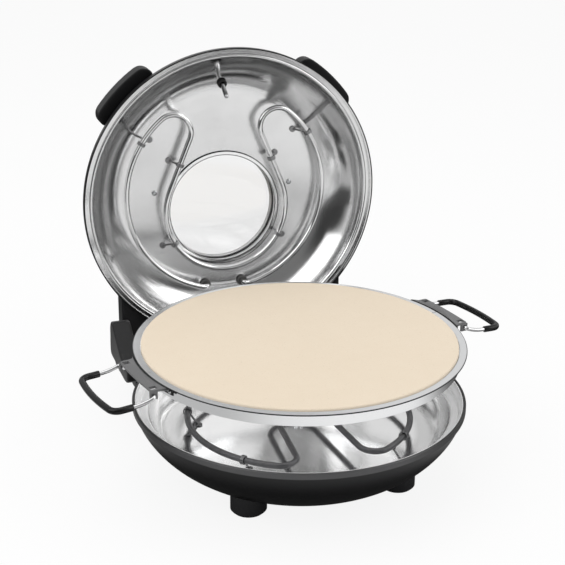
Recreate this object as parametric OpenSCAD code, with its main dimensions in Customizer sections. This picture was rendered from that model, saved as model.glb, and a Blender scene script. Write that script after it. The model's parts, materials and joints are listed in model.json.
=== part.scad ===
// Electric pizza maker: a round base with a mirror-bright bowl and a tube heater,
// a lifted stone in a split steel ring with two bail handles, and a hinged lid
// with a second heater and a round window. Millimetres. +Z is up, -Y is the front.
// The origin is on the table, under the centre of the round base.

/* [Stone and tray] */
// Diameter of the baking stone
stone_d = 310; // [300:1:320]
// Thickness of the baking stone
stone_t = 14.5; // [10:0.5:16]
// Height of the stone's face above the ring
stone_proud = 2; // [1:0.5:3]
// Gap between the stone and the ring around it
stone_gap = 0.6; // [0.4:0.1:1]
// Width of the flat steel ring
ring_w = 7.4; // [6:0.2:9]
// Thickness of the ring's sheet
ring_t = 1.2; // [1:0.1:1.6]
// How high the tray stands above its seat
tray_lift = 53.7; // [40:0.1:60]
// How far the tray's handles are turned from straight left and right
tray_turn = 10.25; // [0:0.25:15]

/* [Base] */
// Height of the base's rim above the table
rim_h = 76.5; // [72:0.5:84]
// Gap between the tray's wall and the base's rim
rim_gap = 3.6; // [3:0.1:6]
// Width of the rim's top
rim_w = 2.8; // [2:0.1:3]
// Depth of the liner's flange below the rim
flange_drop = 11.5; // [9:0.5:12]
// Width of the liner's flange
flange_w = 11; // [9:0.5:13]
// Height of the liner's floor above the table
floor_h = 39; // [36:0.5:42]
// Height of the shell's underside above the table
shell_z = 7; // [5:0.5:10]
// Wall of the base shell
shell_t = 3; // [2:0.1:3.5]
// Thickness of the steel liners
liner_t = 1; // [0.8:0.1:1.2]

/* [Feet] */
// Radius of the circle through the feet
foot_circle = 107.6; // [100:0.5:112]
// Radius of a foot
foot_r = 17.5; // [14:0.5:19]
// Thickness of the rubber pads
pad_t = 3; // [2:0.5:4]

/* [Lid] */
// Gap between the tray's ring and the lid's lip
lip_gap = 0.7; // [0.5:0.1:3]
// Height of the lid from lip to top
lid_h = 60; // [56:1:66]
// Depth of the lid's reflector plate above its lip
plate_d = 42; // [40:0.5:45]
// Wall of the lid's outer shell
lid_t = 1.2; // [1:0.1:1.4]
// Opening angle of the lid
lid_angle = 90.8; // [85:0.1:95]
// Distance of the hinge axis behind the lid's lip
hinge_back = 11.6; // [11:0.1:16]
// Height of the hinge axis
hinge_z = 34.8; // [34:0.1:36]
// Radius of the window opening in the lid
window_r = 64; // [58:0.5:66]
// Distance of the window's centre behind the lid's centre
window_y = 23; // [18:0.5:24]

/* [Heaters] */
// Radius of the heater tubes
tube_r = 3; // [2.5:0.1:3.4]
// Distance of each heater from the plate behind it
heater_gap = 16; // [14:0.5:17]
// Distance of the lid heater's outer turn from the lip
lid_turn_inset = 52; // [51:0.5:58]
// Radius of the lid heater's hairpins
lid_hairpin_r = 20.5; // [16:0.5:22]
// Radius of the lid heater's inner turn
lid_inner_r = 70; // [68:0.5:72]
// Distance of the base heater's outer turn from the rim
base_turn_inset = 54; // [53:0.5:60]
// Radius of the base heater's hairpins
base_hairpin_r = 16; // [12:0.5:18]
// Radius of the base heater's inner turn
base_inner_r = 24; // [20:0.5:30]

/* [Handles] */
// Reach of a bail from its pivot
bail_reach = 44; // [38:0.5:50]
// Radius of the bail's wire
wire_r = 1.9; // [1.5:0.1:2]
// Radius of the sleeve on the bail
sleeve_r = 3.5; // [3:0.1:4]
// Angle that a bail droops at rest
bail_droop = 3; // [0:1:8]
// How far the lid's grip tabs stand out from its lip
grip_reach = 9; // [7:0.5:14]

/* [Hinge] */
// Half the distance between the hinge's shoulders
shoulder_in = 131; // [130:0.5:133]
// Width of a shoulder
shoulder_w = 20; // [16:1:22]
// Radius of the hinge pins
pin_r = 4; // [3:0.1:4.5]
// Radius of the knuckles round the pins
knuckle_r = 12; // [11:0.5:12.5]

/* [Hidden] */

round_fn = 96;     // facets of large turned parts
small_fn = 24;     // facets of small round parts
tube_sides = 10;   // sides of a bent tube
seat = 0.3;        // gap between pieces that rest on each other
fit = 0.2;         // gap between pieces of one assembly
clip_play = 0.5;   // play of a heater in its clips
big = 400;         // longer than any piece

stone_r = stone_d / 2;
ring_in = stone_r + stone_gap;
ring_out = ring_in + ring_w;
pan_top_r = ring_in + 3;                  // outer face of the tray's wall, at its top
pan_foot_r = ring_in + 1;                 // and at its foot
rim_in = pan_top_r + rim_gap;
rim_r = rim_in + rim_w;
lid_r = ring_out + lip_gap + liner_t + 0.1 + lid_t;
hinge_y = lid_r + hinge_back;
grip_r = lid_r + grip_reach;
lid_turn_r = lid_r - lid_turn_inset;
base_turn_r = rim_r - base_turn_inset;
flange_z = rim_h - flange_drop;
flange_in = rim_in - flange_w;
pan_foot = flange_z + seat;               // lower edge of the tray's wall when seated
pan_wall_t = 1.2;
flange_r = pan_top_r + 0.4;               // inner face of the brackets' flanges
flange_t = 1.2;                           // their thickness
ledge_t = 1.2;
stone_z = pan_foot + ledge_t + seat;      // underside of the stone when seated
ring_top = stone_z + stone_t - stone_proud;
ring_under = ring_top - ring_t;
bracket_t = 2.4;
bracket_z = ring_top - bracket_t - 0.1;   // underside of the handle brackets
lid_z = ring_top + 0.3;                   // lip of the closed lid
lid_top = lid_z + lid_h;
plate_z = lid_z + plate_d;
lid_heater_z = plate_z - heater_gap;
base_heater_z = floor_h + heater_gap - liner_t;
lid_in = lid_r - lid_t;
handle_at = [180 + tray_turn, tray_turn]; // directions of the left and right handles
pivot_r = ring_out + 9;                   // bail pivots, from the tray's centre
pivot_z = bracket_z - 2.9;
ear_out = 36.5;                           // outer faces of the bracket's ears
ear_t = 2;
leg_at = ear_out + wire_r + 2;            // bail's legs, from its middle
foot_at = foot_circle / sqrt(2);
window_lip = 2.5;                         // how far a bezel covers its opening
glass_r = window_r + 5;
glass_t = 3;
arm_in = 97;                              // lid's hinge arms, from the centre
arm_out = 128.5;
knuckle_in = 62;                          // base's knuckles, from the centre
knuckle_out = 94.5;
grip_angle = 44;                          // grip tabs, from the front
probe_foot = [0, 47 - lid_r, lid_z + 38];
probe_tip = [0, 58 - lid_r, lid_z + 21.5];
foot_screw_r = 1.7;
inlet_z = 40;                             // height of the cord's inlet
housing_screw_z = rim_h - 20.5;
block_x = 11;                             // terminal block's screws
block_y = base_turn_r - 9;
block_z = shell_z + 15.5;
thermo_x = 3;                             // thermostat's screws
base_clip_at = [-43, 20];                 // base heater's clips, on its outer turn
plate_screw_x = 79;

// ---- curves and sheets ----

// Points of an arc about c
function arc(c, r, a0, a1, n) =
    [for (i = [0:n]) let (a = a0 + (a1 - a0) * i / n) c + r * [cos(a), sin(a)]];

// Points of a cubic curve
function bezier(p, n) = [for (i = [0:n]) let (t = i / n, s = 1 - t)
    s*s*s * p[0] + 3*s*s*t * p[1] + 3*s*t*t * p[2] + t*t*t * p[3]];

function turned(v) = [-v[1], v[0]];
function unit(v) = v / norm(v);
function reversed(p) = [for (i = [len(p) - 1:-1:0]) p[i]];

// A path moved sideways by t, with mitred corners
function beside(p, t) = [for (i = [0:len(p) - 1])
    let (a = i > 0 ? turned(unit(p[i] - p[i - 1])) : turned(unit(p[1] - p[0])),
         b = i < len(p) - 1 ? turned(unit(p[i + 1] - p[i])) : a)
    p[i] + t * (a + b) / (1 + a * b)];

// A turned wall of even thickness t beside a profile
module turned_wall(path, t) {
    rotate_extrude($fn = round_fn) polygon(concat(path, reversed(beside(path, t))));
}

// A round bar between two points
module bar(a, b, r) {
    v = b - a;
    translate(a)
        rotate([0, acos(v[2] / norm(v)), atan2(v[1], v[0])])
            cylinder(r = r, h = norm(v), $fn = small_fn);
}

// ---- bent tubes ----
// A tube's path is a list of [x, y, z, heading, pitch]; it never climbs steeper than straight up.

function tube_dir(s) = [cos(s[3]) * cos(s[4]), sin(s[3]) * cos(s[4]), sin(s[4])];
function tube_side(s) = [-sin(s[3]), cos(s[3]), 0];
function tube_ring(s, r) = [for (k = [0:tube_sides - 1]) let (a = 360 * k / tube_sides)
    [s[0], s[1], s[2]] + r * (cos(a) * tube_side(s) + sin(a) * cross(tube_dir(s), tube_side(s)))];

// A tube along a path, solid, or hollow where bore is over 0
module bent_tube(path, r, bore = 0) {
    m = tube_sides;
    n = len(path);
    outer = [for (s = path) each tube_ring(s, r)];
    inner = bore > 0 ? [for (s = path) each tube_ring(s, bore)] : [];
    shift = n * m;
    outer_sides = [for (i = [0:n - 2], k = [0:m - 1]) let (l = (k + 1) % m)
        [i * m + k, (i + 1) * m + k, (i + 1) * m + l, i * m + l]];
    inner_sides = [for (f = outer_sides) [for (j = [3:-1:0]) f[j] + shift]];
    solid_ends = [[for (k = [0:m - 1]) k], [for (k = [m - 1:-1:0]) (n - 1) * m + k]];
    open_ends = [for (e = [0, n - 1], k = [0:m - 1])
        let (l = (k + 1) % m, f = [e * m + k, e * m + l, e * m + l + shift, e * m + k + shift])
        e == 0 ? f : reversed(f)];
    faces = bore > 0 ? concat(outer_sides, inner_sides, open_ends) : concat(outer_sides, solid_ends);
    polyhedron(concat(outer, inner), faces, convexity = 6);
}

// A flat arc of a path; it turns left where a1 is over a0
function sweep_arc(c, r, a0, a1, z, n) = [for (i = [0:n])
    let (a = a0 + (a1 - a0) * i / n, h = a + (a1 > a0 ? 90 : -90))
    [c[0] + r * cos(a), c[1] + r * sin(a), z, h, 0]];

// The same path on the other side of the centre plane, run backwards
function mirrored(p) = [for (s = reversed(p)) [-s[0], s[1], s[2], -s[3], -s[4]]];

// One half of a heater: in from its terminal, round the outer turn, round the hairpin at
// the front, and along a straight leg on to the inner bend. side is 1 where the terminal
// lies below the heater and -1 where it lies above.
function heater_half(turn_r, hair_at, hair_r, bend_y, bend_r, z, side, tail) =
    let (start = 75, elbow = 8, head = start - 90,
         hair = (turn_r - hair_r) * [sin(hair_at), -cos(hair_at)],
         bend = [0, bend_y],
         gap = bend - hair,
         touch = atan2(gap[1], gap[0]) + acos((hair_r + bend_r) / norm(gap)),
         first = turn_r * [cos(start), sin(start)],
         elbow_at = function (q) [first[0] - elbow * cos(head) * sin(q),
             first[1] - elbow * sin(head) * sin(q), z - side * elbow * (1 - cos(q)), head, side * q],
         end = elbow_at(90))
    concat(
        [[end[0], end[1], z - side * tail, head, side * 90]],
        [for (q = [90:-30:30]) elbow_at(q)],
        sweep_arc([0, 0], turn_r, start, hair_at - 90, z, 15),
        sweep_arc(hair, hair_r, hair_at - 90, touch - 360, z, 9),
        sweep_arc(bend, bend_r, touch - 180, 90, z, 8));

// A whole heater; the two halves meet at the back of the inner bend
function heater_path(half) = concat(half, [for (i = [1:len(half) - 1]) mirrored(half)[i]]);
function terminal_at(turn_r) = let (a = 75, e = 8)
    [turn_r * cos(a) - e * cos(a - 90), turn_r * sin(a) - e * sin(a - 90)];

base_half = heater_half(base_turn_r, 30.2, base_hairpin_r, 12, base_inner_r, base_heater_z, 1,
    base_heater_z - floor_h + 11);
lid_half = heater_half(lid_turn_r, 40, lid_hairpin_r, window_y - 3, lid_inner_r, lid_heater_z, -1,
    heater_gap + 8);
base_terminal = terminal_at(base_turn_r);
lid_terminal = terminal_at(lid_turn_r);

// ---- profiles ----

shell_curve = bezier([[rim_r - 2, rim_h - 6.5], [rim_r - 8, rim_h - 34.5],
    [foot_circle + 13.4, shell_z + 1], [foot_circle - 25.6, shell_z]], 10);
shell_profile = concat([[rim_r - 1, rim_h], [rim_r, rim_h - 1], [rim_r, rim_h - 6]], shell_curve);
shell_inside = beside(shell_curve, -shell_t);
function wall_at(z) = lookup(z, [for (p = shell_inside) [p[1], p[0]]]);   // shell's inner radius
ledge_z = flange_z - liner_t - fit;
flange_seat = rim_in - 3.2;
base_liner_path = concat([[rim_in - fit / 2 - liner_t, rim_h - 0.8],
    [rim_in - fit / 2 - liner_t, flange_z + 7], [flange_seat - fit / 2 - liner_t, flange_z + 3.5],
    [flange_seat - fit / 2 - liner_t, flange_z], [flange_in, flange_z]],
    bezier([[flange_in - 1.6, flange_z - 2], [flange_in - 5, flange_z - 17],
        [flange_in - 13, floor_h], [flange_in - 33, floor_h]], 8), [[0, floor_h]]);
lid_curve = bezier([[lid_r, 6], [lid_r - 3, 20], [lid_r - 21, lid_h - 4],
    [lid_r - 70, lid_h]], 10);
lid_inside = beside(lid_curve, lid_t);
function lid_wall_at(d) = lookup(d, [for (p = lid_inside) [p[1], p[0]]]);   // inner radius at a depth
lid_path = concat([[lid_r, 0]], lid_curve, [[0, lid_h]]);
liner_lip = lid_in - 0.1;
lid_liner_path = concat([[liner_lip, 0.2], [liner_lip, 5], [lid_r - 7, 5],
    [lid_r - 7.8, 3.8], [lid_r - 9, 3.8], [lid_r - 9.8, 5]],
    bezier([[lid_r - 10.6, 9], [lid_r - 19, 27], [lid_r - 36, plate_d],
        [lid_r - 54, plate_d + liner_t]], 8),
    [[0, plate_d + liner_t]]);

// The base shell's outer form as a solid, grown by g
module shell_form(g = 0) {
    rotate_extrude($fn = round_fn)
        polygon(concat([[0, rim_h + g]], beside(shell_profile, g), [[0, shell_z - g]]));
}

// The lid shell's outer form as a solid in its closed place, grown by g
module lid_form(g = 0) {
    translate([0, 0, lid_z]) rotate_extrude($fn = round_fn)
        polygon(concat([[0, 0]], beside([for (i = [0:len(lid_path) - 2]) lid_path[i]], -g),
            [[0, lid_h + g]]));
}

// ---- frames ----

// The lid and all it carries, turned from closed to open
module open_lid() {
    translate([0, hinge_y, hinge_z]) rotate([-lid_angle, 0, 0])
        translate([0, -hinge_y, -hinge_z]) children();
}

// The tray and all it carries, raised from its seat
module lifted() { translate([0, 0, tray_lift]) children(); }

// Both sides of the centre plane
module both() { children(); mirror([1, 0, 0]) children(); }

// A bail at its pivot, drooping; u runs outward
module on_pivot(i) {
    lifted() rotate([0, 0, handle_at[i]]) translate([pivot_r, 0, pivot_z])
        rotate([0, bail_droop, 0]) children();
}

// A screw that points down, with the underside of its head at the origin
module screw(head_r, head_h, shank_r, length) {
    rotate_extrude($fn = small_fn) polygon([[0, -length], [shank_r, -length], [shank_r, 0],
        [head_r, 0], [head_r, head_h * 0.5], [head_r * 0.6, head_h], [0, head_h]]);
}

// Places things on a radius at an angle from the front, pointing outward along +X
module radial(angle, r, z) {
    rotate([0, 0, angle - 90]) translate([r, 0, z]) children();
}

// A heater clip: a ring round the tube, a slanted leg and a foot near the plate
module clip(p, heading, z, foot, plate_face) {
    s = plate_face > z ? 1 : -1;
    translate([p[0], p[1], z]) rotate([0, 0, heading]) rotate([0, 90, 0]) difference() {
        cylinder(r = tube_r + 1.6, h = 4, center = true, $fn = small_fn);
        cylinder(r = tube_r + clip_play, h = 5, center = true, $fn = small_fn);
    }
    foot_z = plate_face - s * (fit + 1.2);
    bar([p[0], p[1], z] + (tube_r + 1.3) * unit([foot[0] - p[0], foot[1] - p[1], foot_z - z]),
        [foot[0], foot[1], foot_z + s * 0.6], 1.2);
    translate([foot[0], foot[1], min(foot_z, plate_face - s * fit)])
        cylinder(r = 3.6, h = 1.2, $fn = small_fn);
}

// A ceramic bush through a plate; up is 1 where its collar is above the plate
module bush(p, z0, z1, collar_z) {
    translate([p[0], p[1], 0]) difference() {
        union() {
            translate([0, 0, z0]) cylinder(r = 4.6, h = z1 - z0, $fn = small_fn);
            translate([0, 0, collar_z]) cylinder(r = 5.8, h = 2, $fn = small_fn);
        }
        translate([0, 0, min(z0, collar_z) - 1])
            cylinder(r = tube_r + fit, h = z1 - z0 + 5, $fn = small_fn);
    }
}

// ---- base ----

module base_shell() {
    color("#19191b") difference() {
        union() {
            rotate_extrude($fn = round_fn) polygon(concat(
                [[rim_in, rim_h - 0.8], [rim_in + 0.8, rim_h]], shell_profile,
                [[0, shell_z], [0, shell_z + shell_t]],
                reversed([for (p = shell_inside) if (p[1] < ledge_z - 6) p]),
                [[flange_seat - 4, ledge_z - 3], [flange_seat - 4, ledge_z], [flange_seat, ledge_z],
                    [flange_seat, flange_z + 3], [rim_in, flange_z + 6.5]]));
            intersection() {
                shell_form();
                both() translate([block_x, block_y, shell_z])
                    cylinder(r = 5, h = block_z - fit - shell_z, $fn = small_fn);
            }
        }
        both() translate([block_x, block_y, shell_z + 6]) cylinder(r = 1.4, h = 30, $fn = small_fn);
        for (a = [22.5:45:337.5]) rotate([0, 0, a])
            translate([34, -2, shell_z - 1]) cube([30, 4, shell_t + 2]);
        feet() translate([0, 0, shell_z]) cylinder(r = foot_screw_r + fit, h = 14, $fn = small_fn);
        housing_points() translate([0, 0, -2]) cylinder(r = 1.6 + fit, h = 12, $fn = small_fn);
        translate([0, rim_r - 30, inlet_z]) rotate([-90, 0, 0]) cylinder(r = 6, h = 40, $fn = small_fn);
    }
}

module base_liner() {
    color("#c9cbce") difference() {
        turned_wall(base_liner_path, liner_t);
        both() translate([base_terminal[0], base_terminal[1], floor_h - 5])
            cylinder(r = 4.6 + fit, h = 10, $fn = small_fn);
        both() translate([thermo_x, 0, floor_h - 5]) cylinder(r = 1.2, h = 10, $fn = small_fn);
    }
}

module base_heater() {
    color("#55555a") bent_tube(heater_path(base_half), tube_r);
}

module base_heater_clips() {
    plate_face = floor_h;
    color("#8d8d90") for (m = [0, 1], a = base_clip_at) mirror([m, 0, 0])
        clip(base_turn_r * [cos(a), sin(a)], a + 90, base_heater_z,
            (base_turn_r - 11) * [cos(a), sin(a)], plate_face);
}

module base_heater_bushes() {
    color("#e8e4da") both() bush(base_terminal, floor_h - 8, floor_h + 1, floor_h + fit);
}

module thermostat() {
    color("#b9b9bb") difference() {
        union() {
            translate([0, 0, floor_h - liner_t - fit - 8]) cylinder(r = 9, h = 8, $fn = 48);
            both() translate([6, -2, floor_h - liner_t - fit - 14]) cube([1, 4, 7]);
        }
        both() translate([thermo_x, 0, floor_h - liner_t - 6]) cylinder(r = 1.1, h = 8, $fn = small_fn);
    }
}

module thermostat_screws() {
    color("#a7a9ac") both() translate([thermo_x, 0, floor_h + 0.1]) screw(2.2, 1.3, 0.9, 6);
}

module terminal_block() {
    color("#e8e4da") difference() {
        translate([-15, block_y - 9, block_z]) cube([30, 18, 12]);
        both() translate([block_x, block_y, block_z - 1]) cylinder(r = 1.6, h = 14, $fn = small_fn);
        for (x = [-3, 3]) translate([x, block_y - 10, block_z + 7]) rotate([-90, 0, 0])
            cylinder(r = 1.8, h = 20, $fn = small_fn);
    }
}

module terminal_screws() {
    color("#a7a9ac") both() translate([block_x, block_y, block_z + 12.1]) screw(2.6, 1.5, 1.2, 18);
}

// Things placed at each of the four feet
module feet() {
    for (x = [-1, 1], y = [-1, 1]) translate([x * foot_at, y * foot_at, 0]) children();
}

module foot(x, y) {
    color("#141414") difference() {
        translate([x * foot_at, y * foot_at, 0]) rotate_extrude($fn = 48) polygon([[0, pad_t + fit],
            [foot_r - 2.3, pad_t + fit], [foot_r - 2.3, pad_t - 1.2], [foot_r - 1, pad_t - 1.2],
            [foot_r, pad_t], [foot_r, 30], [0, 30]]);
        shell_form(fit);
        translate([x * foot_at, y * foot_at, 0]) {
            cylinder(r = foot_screw_r + fit, h = 40, $fn = small_fn);
            translate([0, 0, pad_t - 1]) cylinder(r = 4.5, h = 4.5, $fn = small_fn);
        }
    }
}

module foot_front_left() { foot(-1, -1); }
module foot_front_right() { foot(1, -1); }
module foot_rear_left() { foot(-1, 1); }
module foot_rear_right() { foot(1, 1); }

module foot_pads() {
    color("#222222") feet() difference() {
        cylinder(r = foot_r - 2.5, h = pad_t, $fn = 48);
        translate([0, 0, -1]) cylinder(r = 5, h = pad_t + 2, $fn = small_fn);
    }
}

module foot_screws() {
    color("#a7a9ac") feet() translate([0, 0, pad_t + 3.4]) mirror([0, 0, 1])
        screw(4, 2.4, foot_screw_r, 12);
}

// ---- hinge ----

// Places screws on the radii that hold the housing to the shell
module housing_points() {
    for (a = [-40, -20, 20, 40]) rotate([0, 0, 90 + a])
        translate([wall_at(housing_screw_z - 3.5) - 0.3, 0, housing_screw_z]) rotate([0, 90, 0]) children();
}

// A slab along X with a side outline in Y and Z
module slab(outline, x0, x1) {
    translate([x0, 0, 0]) rotate([90, 0, 90]) linear_extrude(x1 - x0) polygon(outline);
}

module hinge_housing() {
    y = hinge_y;
    z = rim_h;
    back = y + 8.4;
    color("#1e1e20") difference() {
        union() {
            slab([[y - 59.6, z - 38.5], [y - 35.6, z - 52.5], [y - 31.6, z - 54.5], [back - 10, z - 54.5],
                [back - 3, z - 51.5], [back, z - 45.5], [back, z - 12.5], [back - 3, z - 6.5], [back - 9, z - 4.5],
                [y - 59.6, z - 4.5]], -knuckle_out, knuckle_out);
            slab([[y - 73.6, z - 12.5], [y - 67.6, z - 17.5], [y - 59.6, z - 18.5],
                [y - knuckle_r - 3.6, z - 18.5], [y - knuckle_r - 3.6, z - 2.5], [y - 73.6, z - 2.5]],
                -shoulder_in - shoulder_w + 0.2, shoulder_in + shoulder_w - 0.2);
            slab([[y - 57.6, z - 30.5], [y - knuckle_r - 3.6, z - 30.5], [y - knuckle_r - 3.6, z - 17.5],
                [y - 57.6, z - 17.5]], -124, 124);
            both() slab(concat([[y - 65.6, z - 16.5]], arc([y + 2.4, z - 9.5], 7, -90, 0, 4),
                [[y + 9.4, z - 6.5], [y + 7.9, z + 15.5], [y + 6.4, z + 20.5], [y + 2.4, z + 24.5],
                    [y - 5.6, z + 25.5], [y - 40.6, z + 3.5], [y - 65.6, z - 6.5]]),
                shoulder_in, shoulder_in + shoulder_w);
            both() translate([knuckle_in, hinge_y, hinge_z]) rotate([0, 90, 0])
                cylinder(r = knuckle_r, h = knuckle_out - knuckle_in, $fn = 48);
            both() slab([[y - 27, hinge_z], [y - 16, hinge_z - 6], [y, hinge_z - knuckle_r],
                [y + 6, hinge_z + 6], [y - 16, hinge_z + 19], [y - 27, hinge_z + 19]],
                knuckle_in, knuckle_out);
        }
        shell_form(seat);
        translate([-knuckle_in + 6, 90, z - 49.5]) cube([2 * knuckle_in - 12, back - 94, 40]);
        both() translate([knuckle_in - 5, hinge_y, hinge_z]) rotate([0, 90, 0])
            cylinder(r = pin_r + fit / 2, h = 60, $fn = small_fn);
        translate([0, back - 10, inlet_z]) rotate([-90, 0, 0]) cylinder(r = 5.2, h = 20, $fn = small_fn);
        housing_points() cylinder(r = 1.6, h = 22, $fn = small_fn);
    }
}

module hinge_pins() {
    color("#b4b6b9") both() translate([knuckle_in - 4, hinge_y, hinge_z]) rotate([0, 90, 0])
        cylinder(r = pin_r, h = arm_out - knuckle_in + 3.6, $fn = small_fn);
}

module housing_screws() {
    color("#a7a9ac") housing_points() mirror([0, 0, 1]) screw(3, 2.2, 1.5, 21);
}

module cord_gland() {
    back = hinge_y + 8.4;
    color("#222222") translate([0, back, inlet_z]) rotate([-90, 0, 0]) rotate_extrude($fn = 32)
        polygon([[3.2, -6.4], [7.5, -6.4], [7.5, -4.2], [5, -4.2], [5, 0.2], [8, 0.2], [7, 3],
            [3.2, 3]]);
}

// ---- lid ----

module shell_drilling() {
    rotate([0, 90, 0]) translate([0, 0, -12]) cylinder(r = 1.8, h = 20, $fn = small_fn);
}

module lid_shell() {
    color("#19191b") open_lid() difference() {
        translate([0, 0, lid_z]) turned_wall(lid_path, lid_t);
        window_hole(window_r);
        grip_points() shell_drilling();
        bracket_points() shell_drilling();
    }
}

// An opening through the lid's plates
module window_hole(r) {
    translate([0, window_y, lid_z + 20]) cylinder(r = r, h = lid_h, $fn = round_fn);
}

// A round plate or ring in the lid's window, from z0 to z1 above the lip
module window_ring(outer, inner, z0, z1) {
    translate([0, window_y, lid_z + z0]) difference() {
        cylinder(r = outer, h = z1 - z0, $fn = round_fn);
        if (inner > 0) translate([0, 0, -1]) cylinder(r = inner, h = z1 - z0 + 2, $fn = round_fn);
    }
}

module lid_liner() {
    color("#d5d7da") open_lid() difference() {
        translate([0, 0, lid_z]) turned_wall(lid_liner_path, liner_t);
        window_hole(window_r);
        both() translate([lid_terminal[0], lid_terminal[1], plate_z - 5])
            cylinder(r = 4.6 + fit, h = 10, $fn = small_fn);
        both() translate([plate_screw_x, -1, plate_z - 5]) cylinder(r = 1.6, h = 10, $fn = small_fn);
        probe_bar(2.9);
    }
}

module lid_heater() {
    color("#b9bbbe") open_lid() bent_tube(heater_path(lid_half), tube_r);
}

module lid_heater_clips() {
    a = -33;
    b = 30;
    ends = [lid_half[29], lid_half[30]];
    leg = [ends[0][0] + ends[1][0], ends[0][1] + ends[1][1]] / 2;
    color("#a9abae") open_lid() for (m = [0, 1]) mirror([m, 0, 0]) {
        clip(lid_turn_r * [cos(a), sin(a)], a + 90, lid_heater_z,
            (lid_turn_r - 10) * [cos(a - 4), sin(a - 4)], plate_z);
        clip([0, window_y - 3] + lid_inner_r * [cos(b), sin(b)], b + 90, lid_heater_z,
            [0, window_y - 3] + (lid_inner_r + 12) * [cos(b), sin(b)], plate_z);
        clip(leg, ends[1][3], lid_heater_z, leg + [9, -2], plate_z);
    }
}

module lid_heater_bushes() {
    color("#e8e4da") open_lid() both()
        bush(lid_terminal, plate_z - 1, plate_z + liner_t + 5, plate_z - 3.7);
}

module inner_glass() {
    color("#cfe0e0") open_lid()
        window_ring(glass_r, 0, plate_d + liner_t + fit, plate_d + liner_t + fit + glass_t);
}

module inner_bezel() {
    color("#d5d7da") open_lid() {
        window_ring(window_r + window_lip, window_r - window_lip, plate_d - fit - 1.3, plate_d - fit);
        window_ring(window_r - 0.3, window_r - 1.5, plate_d - fit - 0.5, plate_d + liner_t);
    }
}

module window_gasket() {
    color("#e9e9e6") open_lid() window_ring(glass_r + 3.2, glass_r + 0.2, plate_d + liner_t + fit,
        plate_d + liner_t + fit + glass_t);
}

module window_sleeve() {
    color("#c9cbce") open_lid() window_ring(window_r + 2.2, window_r + 1,
        plate_d + liner_t + 2 * fit + glass_t, lid_h - lid_t - 2 * fit - glass_t);
}

module outer_glass() {
    color("#cfe0e0") open_lid()
        window_ring(glass_r, 0, lid_h - lid_t - fit - glass_t, lid_h - lid_t - fit);
}

module outer_bezel() {
    color("#19191b") open_lid() {
        window_ring(window_r + 5, window_r - window_lip, lid_h + fit, lid_h + fit + 1.4);
        window_ring(window_r - 0.3, window_r - 1.5, lid_h - lid_t, lid_h + fit + 0.5);
    }
}

// The probe's line, closed frame
module probe_bar(r, back = 7) {
    d = unit(probe_foot - probe_tip);
    bar(probe_tip, probe_foot + back * d, r);
}

module temperature_probe() {
    color("#c9cbce") open_lid() probe_bar(2.5);
}

module probe_seal() {
    color("#1b1b1b") open_lid() difference() {
        translate([0, 45.6 - lid_r, plate_z - 1.5]) rotate([13, 0, 0]) translate([0, 0, -3.2])
            cylinder(r = 5.2, h = 2.4, $fn = 32);
        probe_bar(2.6);
    }
}

// Places screws on the radii of both grip tabs
module grip_points() {
    for (a = [-1, 1], b = [-6, 6]) radial(a * grip_angle + b, lid_wall_at(31) + 1.2, lid_z + 28) children();
}

module grip(side) {
    corner = 12;
    half = 9.4;
    c = grip_r - corner;
    color("#101010") open_lid() difference() {
        rotate([0, 0, side * grip_angle - 90]) translate([0, 0, lid_z + 18]) linear_extrude(20)
            polygon(concat(
                arc([c * cos(half), -c * sin(half)], corner, -90 - half, -half, 5),
                arc([0, 0], grip_r, -half + 2, half - 2, 6),
                arc([c * cos(half), c * sin(half)], corner, half, 90 + half, 5),
                [[c - 20, 30], [c - 20, -30]]));
        lid_form(fit);
        grip_points() rotate([0, 90, 0]) cylinder(r = 1.6, h = 13, $fn = small_fn);
    }
}

module grip_left() { grip(-1); }
module grip_right() { grip(1); }

module grip_screws() {
    color("#a7a9ac") open_lid() grip_points() rotate([0, 90, 0]) translate([0, 0, -1.7])
        mirror([0, 0, 1]) screw(3, 2, 1.5, 13);
}

// Places screws on the radii that hold the hinge bracket to the lid's shell
module bracket_points() {
    for (a = [-42, -17.5, 17.5, 42]) radial(180 + a, lid_wall_at(17.3) - 1, lid_z + 14.5) children();
}

module lid_hinge_bracket() {
    apron_back = hinge_y + 10.4;
    low = lid_z + 3;
    high = lid_z + 22.4;
    color("#151515") open_lid() difference() {
        union() {
            slab([[lid_r - 62, low], [apron_back - 3, low], [apron_back, low + 3], [apron_back, high - 6],
                [apron_back - 5, high], [lid_r - 62, high]], -arm_out + 0.2, arm_out - 0.2);
            both() slab(concat([[hinge_y - knuckle_r, low + 3], [hinge_y - knuckle_r, hinge_z]],
                arc([hinge_y, hinge_z], knuckle_r, 195, 345, 10), [[hinge_y + knuckle_r, hinge_z],
                [apron_back, low + 3]]), arm_in, arm_out - 0.2);
        }
        lid_form(fit);
        both() {
            translate([-1, 100, low + 3]) cube([45, apron_back - 104, high - low - 6]);
            translate([58, 100, low + 3]) cube([46, apron_back - 104, high - low - 6]);
            translate([arm_in - 1, hinge_y, hinge_z]) rotate([0, 90, 0])
                cylinder(r = pin_r + fit, h = 40, $fn = small_fn);
        }
        bracket_points() rotate([0, 90, 0]) cylinder(r = 1.6, h = 15, $fn = small_fn);
    }
}

module bracket_screws() {
    color("#a7a9ac") open_lid() bracket_points() rotate([0, 90, 0]) translate([0, 0, -0.4])
        mirror([0, 0, 1]) screw(2.8, 2, 1.5, 13);
}

module plate_screws() {
    color("#a7a9ac") open_lid() both() translate([plate_screw_x, -1, plate_z - 0.1])
        mirror([0, 0, 1]) screw(3, 1.6, 1.4, 9);
}

// ---- tray ----

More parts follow.
